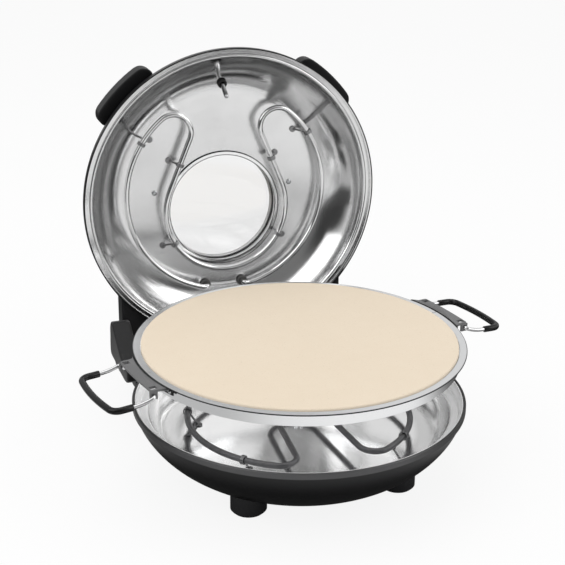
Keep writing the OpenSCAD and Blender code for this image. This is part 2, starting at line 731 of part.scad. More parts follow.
// A half of the tray's ring between two handles
module ring_half(start) {
    gap = 0.3;
    under = ring_under;
    color("#b6b8bb") lifted() difference() {
        rotate([0, 0, start + gap / 2]) rotate_extrude(angle = 180 - gap, $fn = round_fn)
            polygon([[ring_out, under], [ring_out, ring_top - 0.3], [ring_out - 0.3, ring_top],
                [ring_in, ring_top], [ring_in, under], [pan_top_r - pan_wall_t, under],
                [pan_foot_r - pan_wall_t + 0.2, pan_foot + ledge_t], [ring_in - 8.6, pan_foot + ledge_t],
                [ring_in - 8.6, pan_foot], [pan_foot_r, pan_foot], [pan_top_r, under]]);
        rivet_points() cylinder(r = 1.5 + fit / 2, h = 12, center = true, $fn = small_fn);
    }
}

module ring_front() { ring_half(180 + tray_turn); }
module ring_rear() { ring_half(tray_turn); }

// Places rivets on the radii that hold each bracket to the ring's wall
module rivet_points() {
    for (h = handle_at, a = [-12.8, -4.5, 4.5, 12.8]) rotate([0, 0, h + a])
        translate([flange_r, 0, bracket_z - 2.4]) rotate([0, 90, 0]) children();
}

module ring_rivets() {
    color("#c4c6c9") lifted() rivet_points() rotate_extrude($fn = small_fn)
        polygon([[0, -3.4], [2, -3.4], [2.4, -2.65], [1.5, -2.65], [1.5, flange_t + 0.1],
            [2.4, flange_t + 0.1], [2, flange_t + 0.5], [0, flange_t + 0.5]]);
}

module handle_bracket(i) {
    b = bracket_z;
    t = bracket_t;
    half = 13.6;
    outer = pivot_r + 3.5;
    side = ear_out;
    color("#3f4144") lifted() difference() {
        union() {
            rotate([0, 0, handle_at[i] - half - 1]) rotate_extrude(angle = 2 * half + 2, $fn = round_fn)
                polygon([[flange_r, b - 5.3], [flange_r + flange_t, b - 5.3], [flange_r + flange_t, b],
                    [ring_out + 2, b], [ring_out + 2, b + t], [ring_out + 0.3, b + t],
                    [ring_out + 0.3, ring_under - 0.2], [flange_r, ring_under - 0.2]]);
            rotate([0, 0, handle_at[i]]) {
                translate([0, 0, b]) linear_extrude(t)
                    polygon(concat(arc([0, 0], ring_out + 1, -half, half, 8), [[pivot_r - 7, side]],
                        arc([outer - 3, side - 2], 2, 90, 0, 3), [[outer, 10], [outer, -10]],
                        arc([outer - 3, 2 - side], 2, 0, -90, 3), [[pivot_r - 7, -side]]));
                for (m = [0, 1]) mirror([0, m, 0])
                    translate([pivot_r - 4, side - ear_t, pivot_z - 4]) cube([7.5, ear_t, b - pivot_z + 5]);
            }
        }
        rotate([0, 0, handle_at[i]]) {
            translate([pivot_r, 0, pivot_z]) rotate([90, 0, 0])
                cylinder(r = wire_r + 0.3, h = 3 * side, center = true, $fn = small_fn);
            for (m = [0, 1]) mirror([0, m, 0])
                translate([pivot_r - 5, side - 8.5, b - 1]) cube([6.5, 6, t + 2]);
        }
        rivet_points() cylinder(r = 1.5 + fit / 2, h = 8, center = true, $fn = small_fn);
    }
}

module handle_bracket_left() { handle_bracket(0); }
module handle_bracket_right() { handle_bracket(1); }

module pizza_stone() {
    color("#e2d3bd") lifted() translate([0, 0, stone_z]) rotate_extrude($fn = round_fn)
        polygon([[0, 0], [stone_r - 1, 0], [stone_r, 1], [stone_r, stone_t - 1.2],
            [stone_r - 0.4, stone_t - 0.4], [stone_r - 1.2, stone_t], [0, stone_t]]);
}

// ---- bails ----
// Paths lie flat, with x outward from the pivot and y along it.

bail_r = pivot_r + bail_reach + 0.5;     // centreline of the bar, from the tray's centre
bail_corner = 9;
corner_w = leg_at - bail_corner;
corner_u = sqrt((bail_r - bail_corner) * (bail_r - bail_corner) - corner_w * corner_w) - pivot_r;
corner_a = asin(corner_w / (bail_r - bail_corner));
bail_loop = concat(
    sweep_arc([corner_u, -corner_w], bail_corner, -90, -corner_a, 0, 5),
    sweep_arc([-pivot_r, 0], bail_r, -corner_a, corner_a, 0, 4),
    sweep_arc([corner_u, corner_w], bail_corner, corner_a, 90, 0, 5));
wire_bend = 3.2;
leg_dip = 18;                            // how steeply a leg leaves its ear, and then levels off
leg_curve = 58;                          // radius of that curve

// A flat path tipped down about the pivot
function tipped(p) = [for (s = p) [s[0] * cos(leg_dip), s[1], -s[0] * sin(leg_dip),
    atan2(sin(s[3]), cos(s[3]) * cos(leg_dip)), -asin(cos(s[3]) * sin(leg_dip))]];
function lowered(p, dz) = [for (s = p) [s[0], s[1], s[2] + dz, s[3], s[4]]];
function levelling(side) = [for (q = [leg_dip:-6:0])
    [wire_bend * cos(leg_dip) + leg_curve * (sin(leg_dip) - sin(q)), side * leg_at,
     -wire_bend * sin(leg_dip) - leg_curve * (cos(q) - cos(leg_dip)), side > 0 ? 180 : 0, side * q]];
loop_z = -wire_bend * sin(leg_dip) - leg_curve * (1 - cos(leg_dip));
level_u = wire_bend * cos(leg_dip) + leg_curve * sin(leg_dip);
bail_dark = lowered(bail_loop, loop_z);

module bail_wire(i) {
    color("#c4c6c9") on_pivot(i) bent_tube(concat(
        tipped(concat([[0, -ear_out + 5, 0, -90, 0]],
            sweep_arc([wire_bend, -leg_at + wire_bend], wire_bend, 180, 255, 0, 4))),
        levelling(-1),
        bail_dark,
        reversed(levelling(1)),
        tipped(concat(sweep_arc([wire_bend, leg_at - wire_bend], wire_bend, 105, 180, 0, 4),
            [[0, ear_out - 5, 0, 270, 0]]))), wire_r);
}

module bail_sleeve(i) {
    color("#161616") on_pivot(i) bent_tube(concat([[level_u + 1, -leg_at, loop_z, 0, 0]],
        bail_dark, [[level_u + 1, leg_at, loop_z, 180, 0]]), sleeve_r, wire_r + 0.15);
}

module bail_wire_left() { bail_wire(0); }
module bail_wire_right() { bail_wire(1); }
module bail_sleeve_left() { bail_sleeve(0); }
module bail_sleeve_right() { bail_sleeve(1); }

base_shell();
base_liner();
base_heater();
base_heater_clips();
base_heater_bushes();
thermostat();
thermostat_screws();
terminal_block();
terminal_screws();
foot_front_left();
foot_front_right();
foot_rear_left();
foot_rear_right();
foot_pads();
foot_screws();
hinge_housing();
hinge_pins();
housing_screws();
cord_gland();
lid_shell();
lid_liner();
lid_heater();
lid_heater_clips();
lid_heater_bushes();
inner_glass();
inner_bezel();
window_gasket();
window_sleeve();
outer_glass();
outer_bezel();
temperature_probe();
probe_seal();
grip_left();
grip_right();
grip_screws();
lid_hinge_bracket();
bracket_screws();
plate_screws();
ring_front();
ring_rear();
handle_bracket_left();
handle_bracket_right();
ring_rivets();
pizza_stone();
bail_wire_left();
bail_sleeve_left();
bail_wire_right();
bail_sleeve_right();
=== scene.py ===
"""Electric pizza maker: finishes and finely turned, bent and moulded pieces over the fixed CAD frame.

Sizes are written in millimetres and become metres when a mesh is made. The lid's pieces are drawn
closed and swung open, and the tray's are drawn seated and raised.
"""

import json
import math

import bmesh
import bpy
import numpy as np
from mathutils import Matrix, Vector


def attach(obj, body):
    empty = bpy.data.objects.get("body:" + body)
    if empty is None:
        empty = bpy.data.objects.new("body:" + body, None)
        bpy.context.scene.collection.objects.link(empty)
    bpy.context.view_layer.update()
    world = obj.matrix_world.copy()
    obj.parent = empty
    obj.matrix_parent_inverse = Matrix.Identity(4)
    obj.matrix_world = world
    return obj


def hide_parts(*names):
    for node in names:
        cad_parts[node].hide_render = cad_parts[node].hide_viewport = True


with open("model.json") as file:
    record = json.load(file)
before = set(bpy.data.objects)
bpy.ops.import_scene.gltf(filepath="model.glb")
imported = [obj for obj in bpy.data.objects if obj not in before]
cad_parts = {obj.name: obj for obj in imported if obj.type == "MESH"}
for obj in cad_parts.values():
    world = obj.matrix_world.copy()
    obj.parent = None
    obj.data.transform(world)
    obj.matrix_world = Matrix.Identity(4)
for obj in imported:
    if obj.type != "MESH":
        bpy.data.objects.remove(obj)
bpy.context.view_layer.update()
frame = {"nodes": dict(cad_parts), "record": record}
MM = 0.001

# ---------------------------------------------------------------- sizes, in millimetres
STONE_R, STONE_LOW, STONE_TOP = 155.0, 66.8, 81.3
RIM_R, RIM_TOP = 165.0, 76.5
FLANGE_Z, FLOOR_Z, SHELL_Z = 65.0, 39.0, 7.0
LID_R, LID_Z, LID_H, PLATE_D = 166.0, 79.6, 60.0, 42.0
SHELL_T, LINER_T, LID_T, TUBE_R = 3, 1, 1.2, 3
FOOT_AT, PIN_X, PIN_LENGTH = 76.085, 58, 70.1
HINGE_Y, HINGE_Z, LID_ANGLE = 177.6, 34.8, 90.8
TRAY_LIFT, TRAY_TURN = 53.7, 10.25
WINDOW_R, WINDOW_Y = 64.0, 23.0
PIVOT_R, PIVOT_Z, BAIL_DROOP = 172.0, 73.9, 3
RING_LOW, RING_TOP = 78.1, 79.3
# each heater: outer turn, hairpin (its angle and radius), inner bend (its place and radius), and its ends:
# turned down (1) or up (-1), and how far they reach
BASE_COIL = dict(turn_r=111.0, hair_at=30.2, hair_r=16.0, bend_y=12.0, bend_r=24.0, side=1, tail=26.0)
LID_COIL = dict(turn_r=114.0, hair_at=40.0, hair_r=20.5, bend_y=20.0, bend_r=70.0, side=-1, tail=24.0)
BASE_HEATER_Z, LID_HEATER_Z = 54.0, LID_Z + 26

SEATED = Matrix.Identity(4)
RAISED = Matrix.Translation((0, 0, TRAY_LIFT * MM))
OPENED = (
    Matrix.Translation((0, HINGE_Y * MM, HINGE_Z * MM))
    @ Matrix.Rotation(math.radians(-LID_ANGLE), 4, "X")
    @ Matrix.Translation((0, -HINGE_Y * MM, -HINGE_Z * MM))
)


def on_pivot(side):
    """A bail's own frame: x runs outward from its pivot, along the drooping bail."""
    turn = Matrix.Rotation(math.radians(TRAY_TURN + (180 if side < 0 else 0)), 4, "Z")
    pivot = Matrix.Translation((PIVOT_R * MM, 0, PIVOT_Z * MM))
    return RAISED @ turn @ pivot @ Matrix.Rotation(math.radians(BAIL_DROOP), 4, "Y")


def linked(name, data):
    """A new object in the scene."""
    made = bpy.data.objects.new(name, data)
    bpy.context.collection.objects.link(made)
    return made


def direction(azimuth, height):
    """The way to an azimuth from the front and a height over the floor, both in radians."""
    level = math.cos(height)
    return Vector((math.sin(azimuth) * level, -math.cos(azimuth) * level, math.sin(height)))


# ---------------------------------------------------------------- camera
def aim_camera():
    azimuth, elevation, roll = (math.radians(v) for v in (-18.98, 20.9, 0.65))
    distance = 1.3
    target = Vector((-0.01858, 0, 0.19625))
    back = direction(azimuth, elevation)
    right = Vector((math.cos(azimuth), math.sin(azimuth), 0))
    up = back.cross(right)
    turned_right = right * math.cos(roll) + up * math.sin(roll)
    turned_up = up * math.cos(roll) - right * math.sin(roll)
    data = bpy.data.cameras.new("camera")
    data.lens, data.sensor_width, data.clip_end = 86.47, 36.0, 20.0
    camera = linked("camera", data)
    place = Matrix((turned_right, turned_up, back)).transposed().to_4x4()
    place.translation = target + back * distance
    camera.matrix_world = place
    bpy.context.scene.camera = camera


aim_camera()
bpy.context.scene.view_settings.view_transform = "Standard"


# ---------------------------------------------------------------- finishes
def maths(operation, swapped=False):
    """An operator for Wire: the Math node of this name, with its values swapped in a reflected form."""

    def worked(wire, other):
        pair = (other, wire) if swapped else (wire, other)
        return wire.nodes.add("ShaderNodeMath", {"operation": operation}, dict(enumerate(pair)))

    return worked


class Wire:
    """A shader socket that takes part in plain arithmetic."""

    __add__, __radd__ = maths("ADD"), maths("ADD", True)
    __sub__, __rsub__ = maths("SUBTRACT"), maths("SUBTRACT", True)
    __mul__, __rmul__ = maths("MULTIPLY"), maths("MULTIPLY", True)
    __pow__ = maths("POWER")

    def __init__(self, nodes, socket):
        self.nodes, self.socket = nodes, socket

    def stepped(self, low, high):
        """0 below low, 1 above high, and a smooth step between."""
        limits = {"Value": self, "From Min": low, "From Max": high}
        return self.nodes.add("ShaderNodeMapRange", {"interpolation_type": "SMOOTHSTEP"}, limits)


class Nodes:
    """A shader tree. add() makes any node from its settings and its sockets' values or links."""

    def __init__(self, tree):
        self.tree = tree
        tree.nodes.clear()

    def put(self, socket, value):
        if isinstance(value, Wire):
            self.tree.links.new(value.socket, socket)
        elif hasattr(socket.default_value, "__len__") and len(value) == 3 and len(socket.default_value) == 4:
            socket.default_value = (*value, 1.0)
        else:
            socket.default_value = value

    def add(self, kind, settings=None, values=None, out=0):
        node = self.tree.nodes.new(kind)
        for name, value in (settings or {}).items():
            setattr(node, name, value)
        for name, value in (values or {}).items():
            self.put(node.inputs[name], value)
        return Wire(self, node.outputs[out])

    def outputs(self, kind, values=None):
        """All outputs of a new node, by name."""
        node = self.add(kind, None, values).socket.node
        return {socket.name: Wire(self, socket) for socket in node.outputs}

    def axes(self, vector):
        """The three numbers of a vector."""
        return tuple(self.outputs("ShaderNodeSeparateXYZ", {0: vector}).values())

    def measure(self, operation, first, second):
        """The one number that a vector operation gives."""
        return self.add("ShaderNodeVectorMath", {"operation": operation}, {0: first, 1: second}, out="Value")

    def over(self, mask, under, number):
        """A number, and another one where a mask covers it."""
        return self.add("ShaderNodeMix", {"data_type": "FLOAT"}, {0: mask, 2: under, 3: number})

    def rays(self):
        """Masks of what the camera sees, directly or through glass, and of what polished metal mirrors."""
        ray = self.outputs("ShaderNodeLightPath")
        pair = {0: ray["Is Camera Ray"], 1: ray["Is Transmission Ray"]}
        return self.add("ShaderNodeMath", {"operation": "MAXIMUM"}, pair), ray["Is Glossy Ray"]

    def show(self, shader, output):
        """Ends the tree with a shader."""
        self.tree.links.new(shader.socket, self.tree.nodes.new(output).inputs[0])


class Finish(Nodes):
    """One material of the object."""

    def __init__(self, name, **shader):
        self.material = bpy.data.materials.new(name)
        self.material.use_nodes = True
        super().__init__(self.material.node_tree)
        principled = self.add("ShaderNodeBsdfPrincipled")
        self.shader = principled.socket.node
        self.show(principled, "ShaderNodeOutputMaterial")
        self.set(**shader)

    def set(self, **values):
        for name, value in values.items():
            self.put(self.shader.inputs[name.replace("_", " ")], value)

    def place(self, shift=(0, 0, 0), turn=(0, 0, 0)):
        """Object coordinates, shifted and turned."""
        where = self.add("ShaderNodeTexCoord", out="Object")
        return self.add("ShaderNodeMapping", None, {"Vector": where, "Location": shift, "Rotation": turn})

    def noise(self, where, scale, detail, rough):
        values = {"Vector": where, "Scale": scale, "Detail": detail, "Roughness": rough}
        return self.add("ShaderNodeTexNoise", None, values)

    def blend(self, amount, first, second):
        """A colour between two colours."""
        return self.add("ShaderNodeMix", {"data_type": "RGBA"}, {0: amount, 6: first, 7: second}, out=2)

    def bump(self, height, strength, depth):
        values = {"Height": height, "Strength": strength, "Distance": depth}
        self.set(Normal=self.add("ShaderNodeBump", None, values))


ROUND_Z = ((0, 0, 0), (0, 0, 0))
# the same rings round the open lid's own axis: undo its place, then its swing
LID_BACK = OPENED.inverted()
ROUND_LID = (tuple(LID_BACK.translation), tuple(LID_BACK.to_euler()))


def spun_steel(name, rough, axis, waviness, plate_r, plate_rough, plate_tint, flange=1000.0):
    """Spun stainless steel: rings round its axis, a plate of its own gloss and tint, and a brushed flange."""
    finish = Finish(name, Metallic=1.0)
    where = finish.place(*axis)
    x, y, z = finish.axes(where)
    radius = (x * x + y * y) ** 0.5
    rings = finish.add("ShaderNodeCombineXYZ", None, {0: radius, 1: z, 2: (x * y) * 0.6})
    fine = finish.noise(rings, 2600.0, 2.0, 0.6)
    coarse = finish.noise(rings, 260.0, 3.0, 0.55)
    wander = finish.noise(where, 9.0, 2.0, 0.5)
    smears = finish.noise(where, 34.0, 4.0, 0.6)
    wall = radius.stepped((plate_r - 6) * MM, (plate_r + 4) * MM)
    edge = radius.stepped((flange - 1) * MM, flange * MM)
    steel = finish.blend(edge, finish.blend(wall, (plate_tint,) * 3, (STEEL_TINT,) * 3), (0.98, 0.98, 0.98))
    satin = rough + (1 - wall) * plate_rough + edge * 0.3
    finish.set(
        Base_Color=finish.blend(smears.stepped(0.35, 0.75) * 0.03, steel, (0.0, 0.0, 0.0)),
        Roughness=satin + (smears - 0.5) * 0.05 + (coarse - 0.5) * 0.04,
    )
    streak = 0.06
    finish.bump(fine * streak + coarse * (streak * 0.8) + wander * waviness, 1.0, 0.0004)
    return finish.material


def times(colour, factor):
    return tuple(v * factor for v in colour)


def baked_enamel(name, shade, rough, rim=False):
    """Sprayed and baked black enamel, with a faint orange peel."""
    finish = Finish(name, Specular_IOR_Level=0.32)
    where = finish.place()
    peel = finish.noise(where, 420.0, 2.0, 0.5)
    haze = finish.noise(where, 16.0, 4.0, 0.6)
    dust = finish.noise(where, 1500.0, 1.0, 0.5).stepped(0.72, 0.8)
    coat = finish.blend(dust * 0.25 + haze * 0.2, shade, times(shade, 2.2))
    if rim:
        # painted highlight: the rolled rim is a greyer black along its front, where light catches it
        right, back, height = finish.axes(where)
        painted_rim_highlight = height.stepped(70.2 * MM, 71.2 * MM) * (1 - height.stepped(77.2 * MM, 78.0 * MM))
        painted_rim_highlight = painted_rim_highlight * (1 - back.stepped(-0.12, -0.03)) * (1 - right.stepped(0.03, 0.11))
        coat = finish.blend(painted_rim_highlight * (0.75 + haze * 0.4), coat, (0.075, 0.075, 0.077))
    finish.set(Base_Color=coat, Roughness=rough + (haze - 0.5) * 0.1)
    finish.bump(peel, 0.22, 0.0003)
    return finish.material


def moulded_plastic(name, shade, rough, grain=0.35, gap=0.0, gloss=0.0):
    """Black moulding with a fine spark-eroded grain, and painted shadow, black, inside a radius where a gap
    is given.
    """
    finish = Finish(name, Specular_IOR_Level=0.2 * (1 - gloss), Coat_Weight=gloss, Coat_Roughness=0.06)
    where = finish.place()
    spark = finish.noise(where, 2100.0, 2.0, 0.6)
    haze = finish.noise(where, 22.0, 3.0, 0.6)
    colour = finish.blend(haze * 0.5, shade, times(shade, 1.7))
    if gap:
        x, y, _ = finish.axes(where)
        # painted shadow: black inside the gap radius, as shade in the gap beside the ring
        clear_of_painted_shadow = ((x * x + y * y) ** 0.5).stepped(gap * MM, (gap + 0.5) * MM)
        colour = finish.blend(clear_of_painted_shadow, (0.004, 0.004, 0.004), colour)
    finish.set(Base_Color=colour, Roughness=rough + (spark - 0.5) * 0.12 + (haze - 0.5) * 0.08)
    finish.bump(spark, grain, 0.0002)
    return finish.material


def heater_sheath(name, shade, rough, metal, scale_spots):
    """A heater tube's sheath, drawn lengthwise and touched by heat."""
    finish = Finish(name, Metallic=metal)
    where = finish.place()
    spots = finish.noise(where, 210.0, 4.0, 0.65)
    bands = finish.noise(where, 26.0, 3.0, 0.5)
    finish.set(
        Base_Color=finish.blend(spots.stepped(0.45, 0.75) * scale_spots, shade, times(shade, 0.55)),
        Roughness=rough + (spots - 0.5) * 0.2 + (bands - 0.5) * 0.12,
    )
    finish.bump(spots, 0.25, 0.0002)
    return finish.material


def satin_steel(name, tint, rough):
    finish = Finish(name, Metallic=1.0)
    where = finish.place()
    drawn = finish.noise(where, 900.0, 3.0, 0.6)
    smears = finish.noise(where, 30.0, 3.0, 0.6)
    finish.set(
        Base_Color=finish.blend(smears, tint, times(tint, 0.93)),
        Roughness=rough + (drawn - 0.5) * 0.12 + (smears - 0.5) * 0.06,
    )
    finish.bump(drawn, 0.12, 0.0002)
    return finish.material


def ring_finish():
    """Satin steel with a painted shadow line, dark, along its outer edge under the flat top, over a brighter
    wall.
    """
    finish = Finish("ring_steel", Metallic=1.0)
    where = finish.place()
    x, y, z = finish.axes(where)
    radius = (x * x + y * y) ** 0.5
    low, high = (RING_LOW + TRAY_LIFT) * MM, (RING_TOP + TRAY_LIFT) * MM
    # painted shadow: a dark line round the outer edge of the flat top, where a gap would lie in shade
    painted_shadow_line = radius.stepped(0.1620, 0.1624) * z.stepped(low - 0.0002, low)
    painted_shadow_line = painted_shadow_line * (1 - z.stepped(high - 0.0001, high + 0.0002))
    wall = 1 - z.stepped(low - 0.0006, low - 0.0002)
    drawn = finish.noise(finish.add("ShaderNodeCombineXYZ", None, {0: radius, 1: z}), 1500.0, 3.0, 0.6)
    smears = finish.noise(where, 30.0, 3.0, 0.6)
    steel = finish.blend(smears, (0.84, 0.845, 0.85), (0.80, 0.805, 0.81))
    steel = finish.blend(wall, steel, (0.90, 0.905, 0.91))
    finish.set(
        Base_Color=finish.blend(painted_shadow_line, steel, (0.035, 0.035, 0.037)),
        Roughness=0.36 - wall * 0.2 + (drawn - 0.5) * 0.08 + painted_shadow_line * 0.2,
    )
    finish.bump(drawn, 0.08, 0.0002)
    return finish.material


def baking_stone():
    """Pressed cordierite: warm beige, matt, with a fine sandy grain and a few darker specks."""
    finish = Finish("baking_stone", Specular_IOR_Level=0.3)
    where = finish.place()
    cloud = finish.noise(where, 7.0, 3.0, 0.5)
    mottle = finish.noise(where, 60.0, 4.0, 0.6)
    sand = finish.noise(where, 1150.0, 2.0, 0.6)
    speck = finish.noise(where, 640.0, 1.0, 0.5).stepped(0.7, 0.76)
    pits = finish.add("ShaderNodeTexVoronoi", None, {"Vector": where, "Scale": 900.0})
    warm = finish.blend(cloud * 0.5 + mottle * 0.5, (0.77, 0.657, 0.515), (0.825, 0.722, 0.585))
    grained = finish.blend((sand - 0.4) * 0.55, warm, (0.64, 0.52, 0.375))
    finish.set(
        Base_Color=finish.blend(speck * 0.22, grained, (0.40, 0.30, 0.20)),
        Roughness=0.86 + (sand - 0.5) * 0.16,
    )
    finish.bump(sand + mottle * 0.5 + pits * 0.4, 0.3, 0.0003)
    return finish.material


def glazed(name, shade, rough):
    finish = Finish(name)
    where = finish.place()
    cloud = finish.noise(where, 160.0, 3.0, 0.5)
    finish.set(
        Base_Color=finish.blend(cloud, shade, times(shade, 0.9)),
        Roughness=rough + (cloud - 0.5) * 0.1,
    )
    finish.bump(cloud, 0.1, 0.0002)
    return finish.material


def window_rim():
    """A polished ring with a painted shadow line by the glass and a painted shadow where it meets the plate.
    """
    finish = Finish("window_rim", Metallic=1.0)
    where = finish.place(*ROUND_LID)
    x, y, _ = finish.axes(where)
    away = y - WINDOW_Y * MM
    radius = (x * x + away * away) ** 0.5
    # painted shadow: dark lines by the glass and at the seam with the plate, where grooves would lie in shade
    painted_glass_shadow = radius.stepped(61.5 * MM, 61.8 * MM) * (1 - radius.stepped(62.2 * MM, 62.6 * MM))
    painted_plate_shadow = radius.stepped(65.3 * MM, 65.7 * MM)
    smears = finish.noise(where, 40.0, 3.0, 0.6)
    colour = finish.blend(painted_glass_shadow + painted_plate_shadow, (0.93, 0.93, 0.93), (0.03, 0.03, 0.031))
    finish.set(Base_Color=colour, Roughness=0.1 + smears * 0.06)
    finish.bump(smears, 0.1, 0.0002)
    return finish.material


def outer_rim():
    """Black enamel outside, and bare bright metal where it faces the glass."""
    finish = Finish("outer_rim", Specular_IOR_Level=0.3)
    where = finish.place(*ROUND_LID)
    z = finish.axes(where)[2]
    bare = 1 - z.stepped((LID_Z + 60.3) * MM, (LID_Z + 60.6) * MM)
    cloud = finish.noise(where, 40.0, 3.0, 0.6)
    colour = finish.blend(bare, (0.011, 0.011, 0.012), (0.9, 0.9, 0.9))
    finish.set(Base_Color=colour, Metallic=bare, Roughness=0.4 + cloud * 0.05)
    finish.bump(cloud, 0.1, 0.0002)
    return finish.material


def window_glass():
    finish = Finish("window_glass", Base_Color=(0.95, 0.95, 0.95), Transmission_Weight=1.0, IOR=1.45)
    where = finish.place()
    film = finish.noise(where, 18.0, 3.0, 0.5)
    finish.set(Roughness=0.015 + film * 0.03)
    return finish.material


STEEL_TINT = 0.77
FINISHES = {
    "shell_black": baked_enamel("shell_black", (0.006, 0.006, 0.0064), 0.33, rim=True),
    "bezel_black": baked_enamel("bezel_black", (0.011, 0.011, 0.012), 0.4),
    "bowl_steel": spun_steel("bowl_steel", 0.17, ROUND_Z, 0.1, 118, -0.05, 0.97, flange=150.5),
    "lid_steel": spun_steel("lid_steel", 0.12, ROUND_LID, 0.15, 112, 0.1, 0.88),
    "heater_dark": heater_sheath("heater_dark", (0.11, 0.11, 0.115), 0.45, 0.7, 0.6),
    "heater_bright": heater_sheath("heater_bright", (0.84, 0.84, 0.84), 0.07, 1.0, 0.15),
    "clip_steel": satin_steel("clip_steel", (0.6, 0.6, 0.61), 0.25),
    "screw_steel": satin_steel("screw_steel", (0.68, 0.69, 0.7), 0.25),
    "satin_bright": satin_steel("satin_bright", (0.88, 0.88, 0.88), 0.5),
    "clip_dark": satin_steel("clip_dark", (0.13, 0.13, 0.132), 0.28),
    "clip_mid": satin_steel("clip_mid", (0.34, 0.34, 0.342), 0.3),
    "grip_black": moulded_plastic("grip_black", (0.006, 0.006, 0.0064), 0.42, 0.2),
    "ring_steel": ring_finish(),
    # the bracket's edge next to the ring is painted black, as shadow in the gap
    "bracket_grey": moulded_plastic("bracket_grey", (0.14, 0.14, 0.142), 0.5, 0.15, gap=164.6),
    "wire_steel": satin_steel("wire_steel", (0.66, 0.66, 0.665), 0.12),
    "sleeve_black": moulded_plastic("sleeve_black", (0.003, 0.003, 0.0032), 0.32, 0.05, gloss=0.22),
    "stone": baking_stone(),
    "ceramic_white": glazed("ceramic_white", (0.86, 0.83, 0.76), 0.25),
    "ceramic_grey": glazed("ceramic_grey", (0.12, 0.118, 0.115), 0.6),
    "black_plastic": moulded_plastic("black_plastic", (0.012, 0.012, 0.0125), 0.36),
    "foot_plastic": moulded_plastic("foot_plastic", (0.018, 0.018, 0.019), 0.46),
    "black_rubber": moulded_plastic("black_rubber", (0.02, 0.02, 0.02), 0.75, 0.5),
    "white_rubber": glazed("white_rubber", (0.82, 0.82, 0.8), 0.7),
    "window_glass": window_glass(),
    "window_rim": window_rim(),
    "outer_rim": outer_rim(),
}


# ---------------------------------------------------------------- profiles and paths
def curve(points, count):
    """Points of a cubic curve."""
    p = np.array(points, float)
    t = np.linspace(0, 1, count + 1)[:, None]
    s = 1 - t
    return [tuple(v) for v in s**3 * p[0] + 3 * s * s * t * p[1] + 3 * s * t * t * p[2] + t**3 * p[3]]


def arc(centre, radius, first, last, count):
    return [
        (centre[0] + radius * math.cos(math.radians(a)), centre[1] + radius * math.sin(math.radians(a)))
        for a in np.linspace(first, last, count + 1)
    ]


def beside(path, t):
    """The path moved to its left by t, with mitred corners."""
    p = np.array(path, float)
    steps = np.diff(p, axis=0)
    left = np.stack([-steps[:, 1], steps[:, 0]], 1) / np.linalg.norm(steps, axis=1)[:, None]
    a = np.vstack([left[:1], left])
    b = np.vstack([left, left[-1:]])
    return [tuple(v) for v in p + t * (a + b) / (1 + (a * b).sum(1))[:, None]]


def eased(path, radius, closed=False, count=4):
    """The path with its corners rounded, and a short straight kept on each side of a corner."""
    p = [np.array(v, float) for v in path]
    n = len(p)
    made = []
    for i in range(n):
        if not closed and i in (0, n - 1):
            made.append(tuple(p[i]))
            continue
        before, here, after = p[i - 1], p[i], p[(i + 1) % n]
        u, v = before - here, after - here
        lu, lv = np.linalg.norm(u), np.linalg.norm(v)
        u, v = u / lu, v / lv
        bend = math.pi - math.acos(max(-1.0, min(1.0, float(u @ v))))
        if bend < 0.2:
            made.append(tuple(here))
            continue
        reach = min(radius * math.tan(bend / 2), 0.4 * lu, 0.4 * lv)
        r = reach / math.tan(bend / 2)
        middle = (u + v) / np.linalg.norm(u + v)
        centre = here + middle * r / math.cos(bend / 2)
        start, end = here + u * reach, here + v * reach
        a0 = math.atan2(*(start - centre)[::-1])
        a1 = math.atan2(*(end - centre)[::-1])
        turn = (a1 - a0 + math.pi) % (2 * math.pi) - math.pi
        made.append(tuple(start + u * min(0.2 * reach, 0.3)))
        for k in range(count + 1):
            a = a0 + turn * k / count
            made.append((centre[0] + r * math.cos(a), centre[1] + r * math.sin(a)))
        made.append(tuple(end + v * min(0.2 * reach, 0.3)))
    return made


def walled(path, t):
    """A closed section: a path and the same path beside it."""
    return list(path) + list(reversed(beside(path, t)))


# ---------------------------------------------------------------- meshes
def piece_from(name, mesh, place=SEATED):
    """A piece with smooth faces and sharp edges, from a mesh or from a bmesh, which is freed."""
    if isinstance(mesh, bmesh.types.BMesh):
        bm, mesh = mesh, bpy.data.meshes.new(name)
        bm.to_mesh(mesh)
        bm.free()
    mesh.transform(place)
    mesh.shade_smooth()
    mesh.set_sharp_from_angle(angle=math.radians(38))
    return linked(name, mesh)


def turned(name, section, place=SEATED, steps=240, first=0.0, sweep=360.0, centre=(0, 0)):
    """A closed section of (radius, height) turned about the vertical."""
    whole = sweep >= 360
    count = steps if whole else max(8, int(steps * sweep / 360)) + 1
    angles = np.radians(first + np.linspace(0, sweep, count + (1 if whole else 0))[:count])
    bm = bmesh.new()
    rings = []
    for r, z in section:
        if r < 1e-6:
            pole = bm.verts.new((centre[0] * MM, centre[1] * MM, z * MM))
            rings.append([pole] * count)
        else:
            across = [(centre[0] + r * math.cos(a), centre[1] + r * math.sin(a)) for a in angles]
            rings.append([bm.verts.new((x * MM, y * MM, z * MM)) for x, y in across])
    for i in range(len(section)):
        low, high = rings[i], rings[(i + 1) % len(section)]
        for k in range(count if whole else count - 1):
            corners = []
            for v in (low[k], low[(k + 1) % count], high[(k + 1) % count], high[k]):
                if v not in corners:
                    corners.append(v)
            if len(corners) > 2:
                bm.faces.new(corners)
    if not whole:
        bm.faces.new([ring[0] for ring in rings])
        bm.faces.new([ring[-1] for ring in reversed(rings)])
    bmesh.ops.recalc_face_normals(bm, faces=bm.faces)
    return piece_from(name, bm, place)


def settled(holder, name, place=SEATED):
    """The evaluated result of an object's modifiers, as a plain piece; the holder is removed."""
    bpy.context.view_layer.update()
    evaluated = holder.evaluated_get(bpy.context.evaluated_depsgraph_get())
    mesh = bpy.data.meshes.new_from_object(evaluated)
    mesh.name = name
    bpy.data.objects.remove(holder)
    bm = bmesh.new()
    bm.from_mesh(mesh)
    bmesh.ops.remove_doubles(bm, verts=bm.verts, dist=1e-7)
    bm.to_mesh(mesh)
    bm.free()
    return piece_from(name, mesh, place)


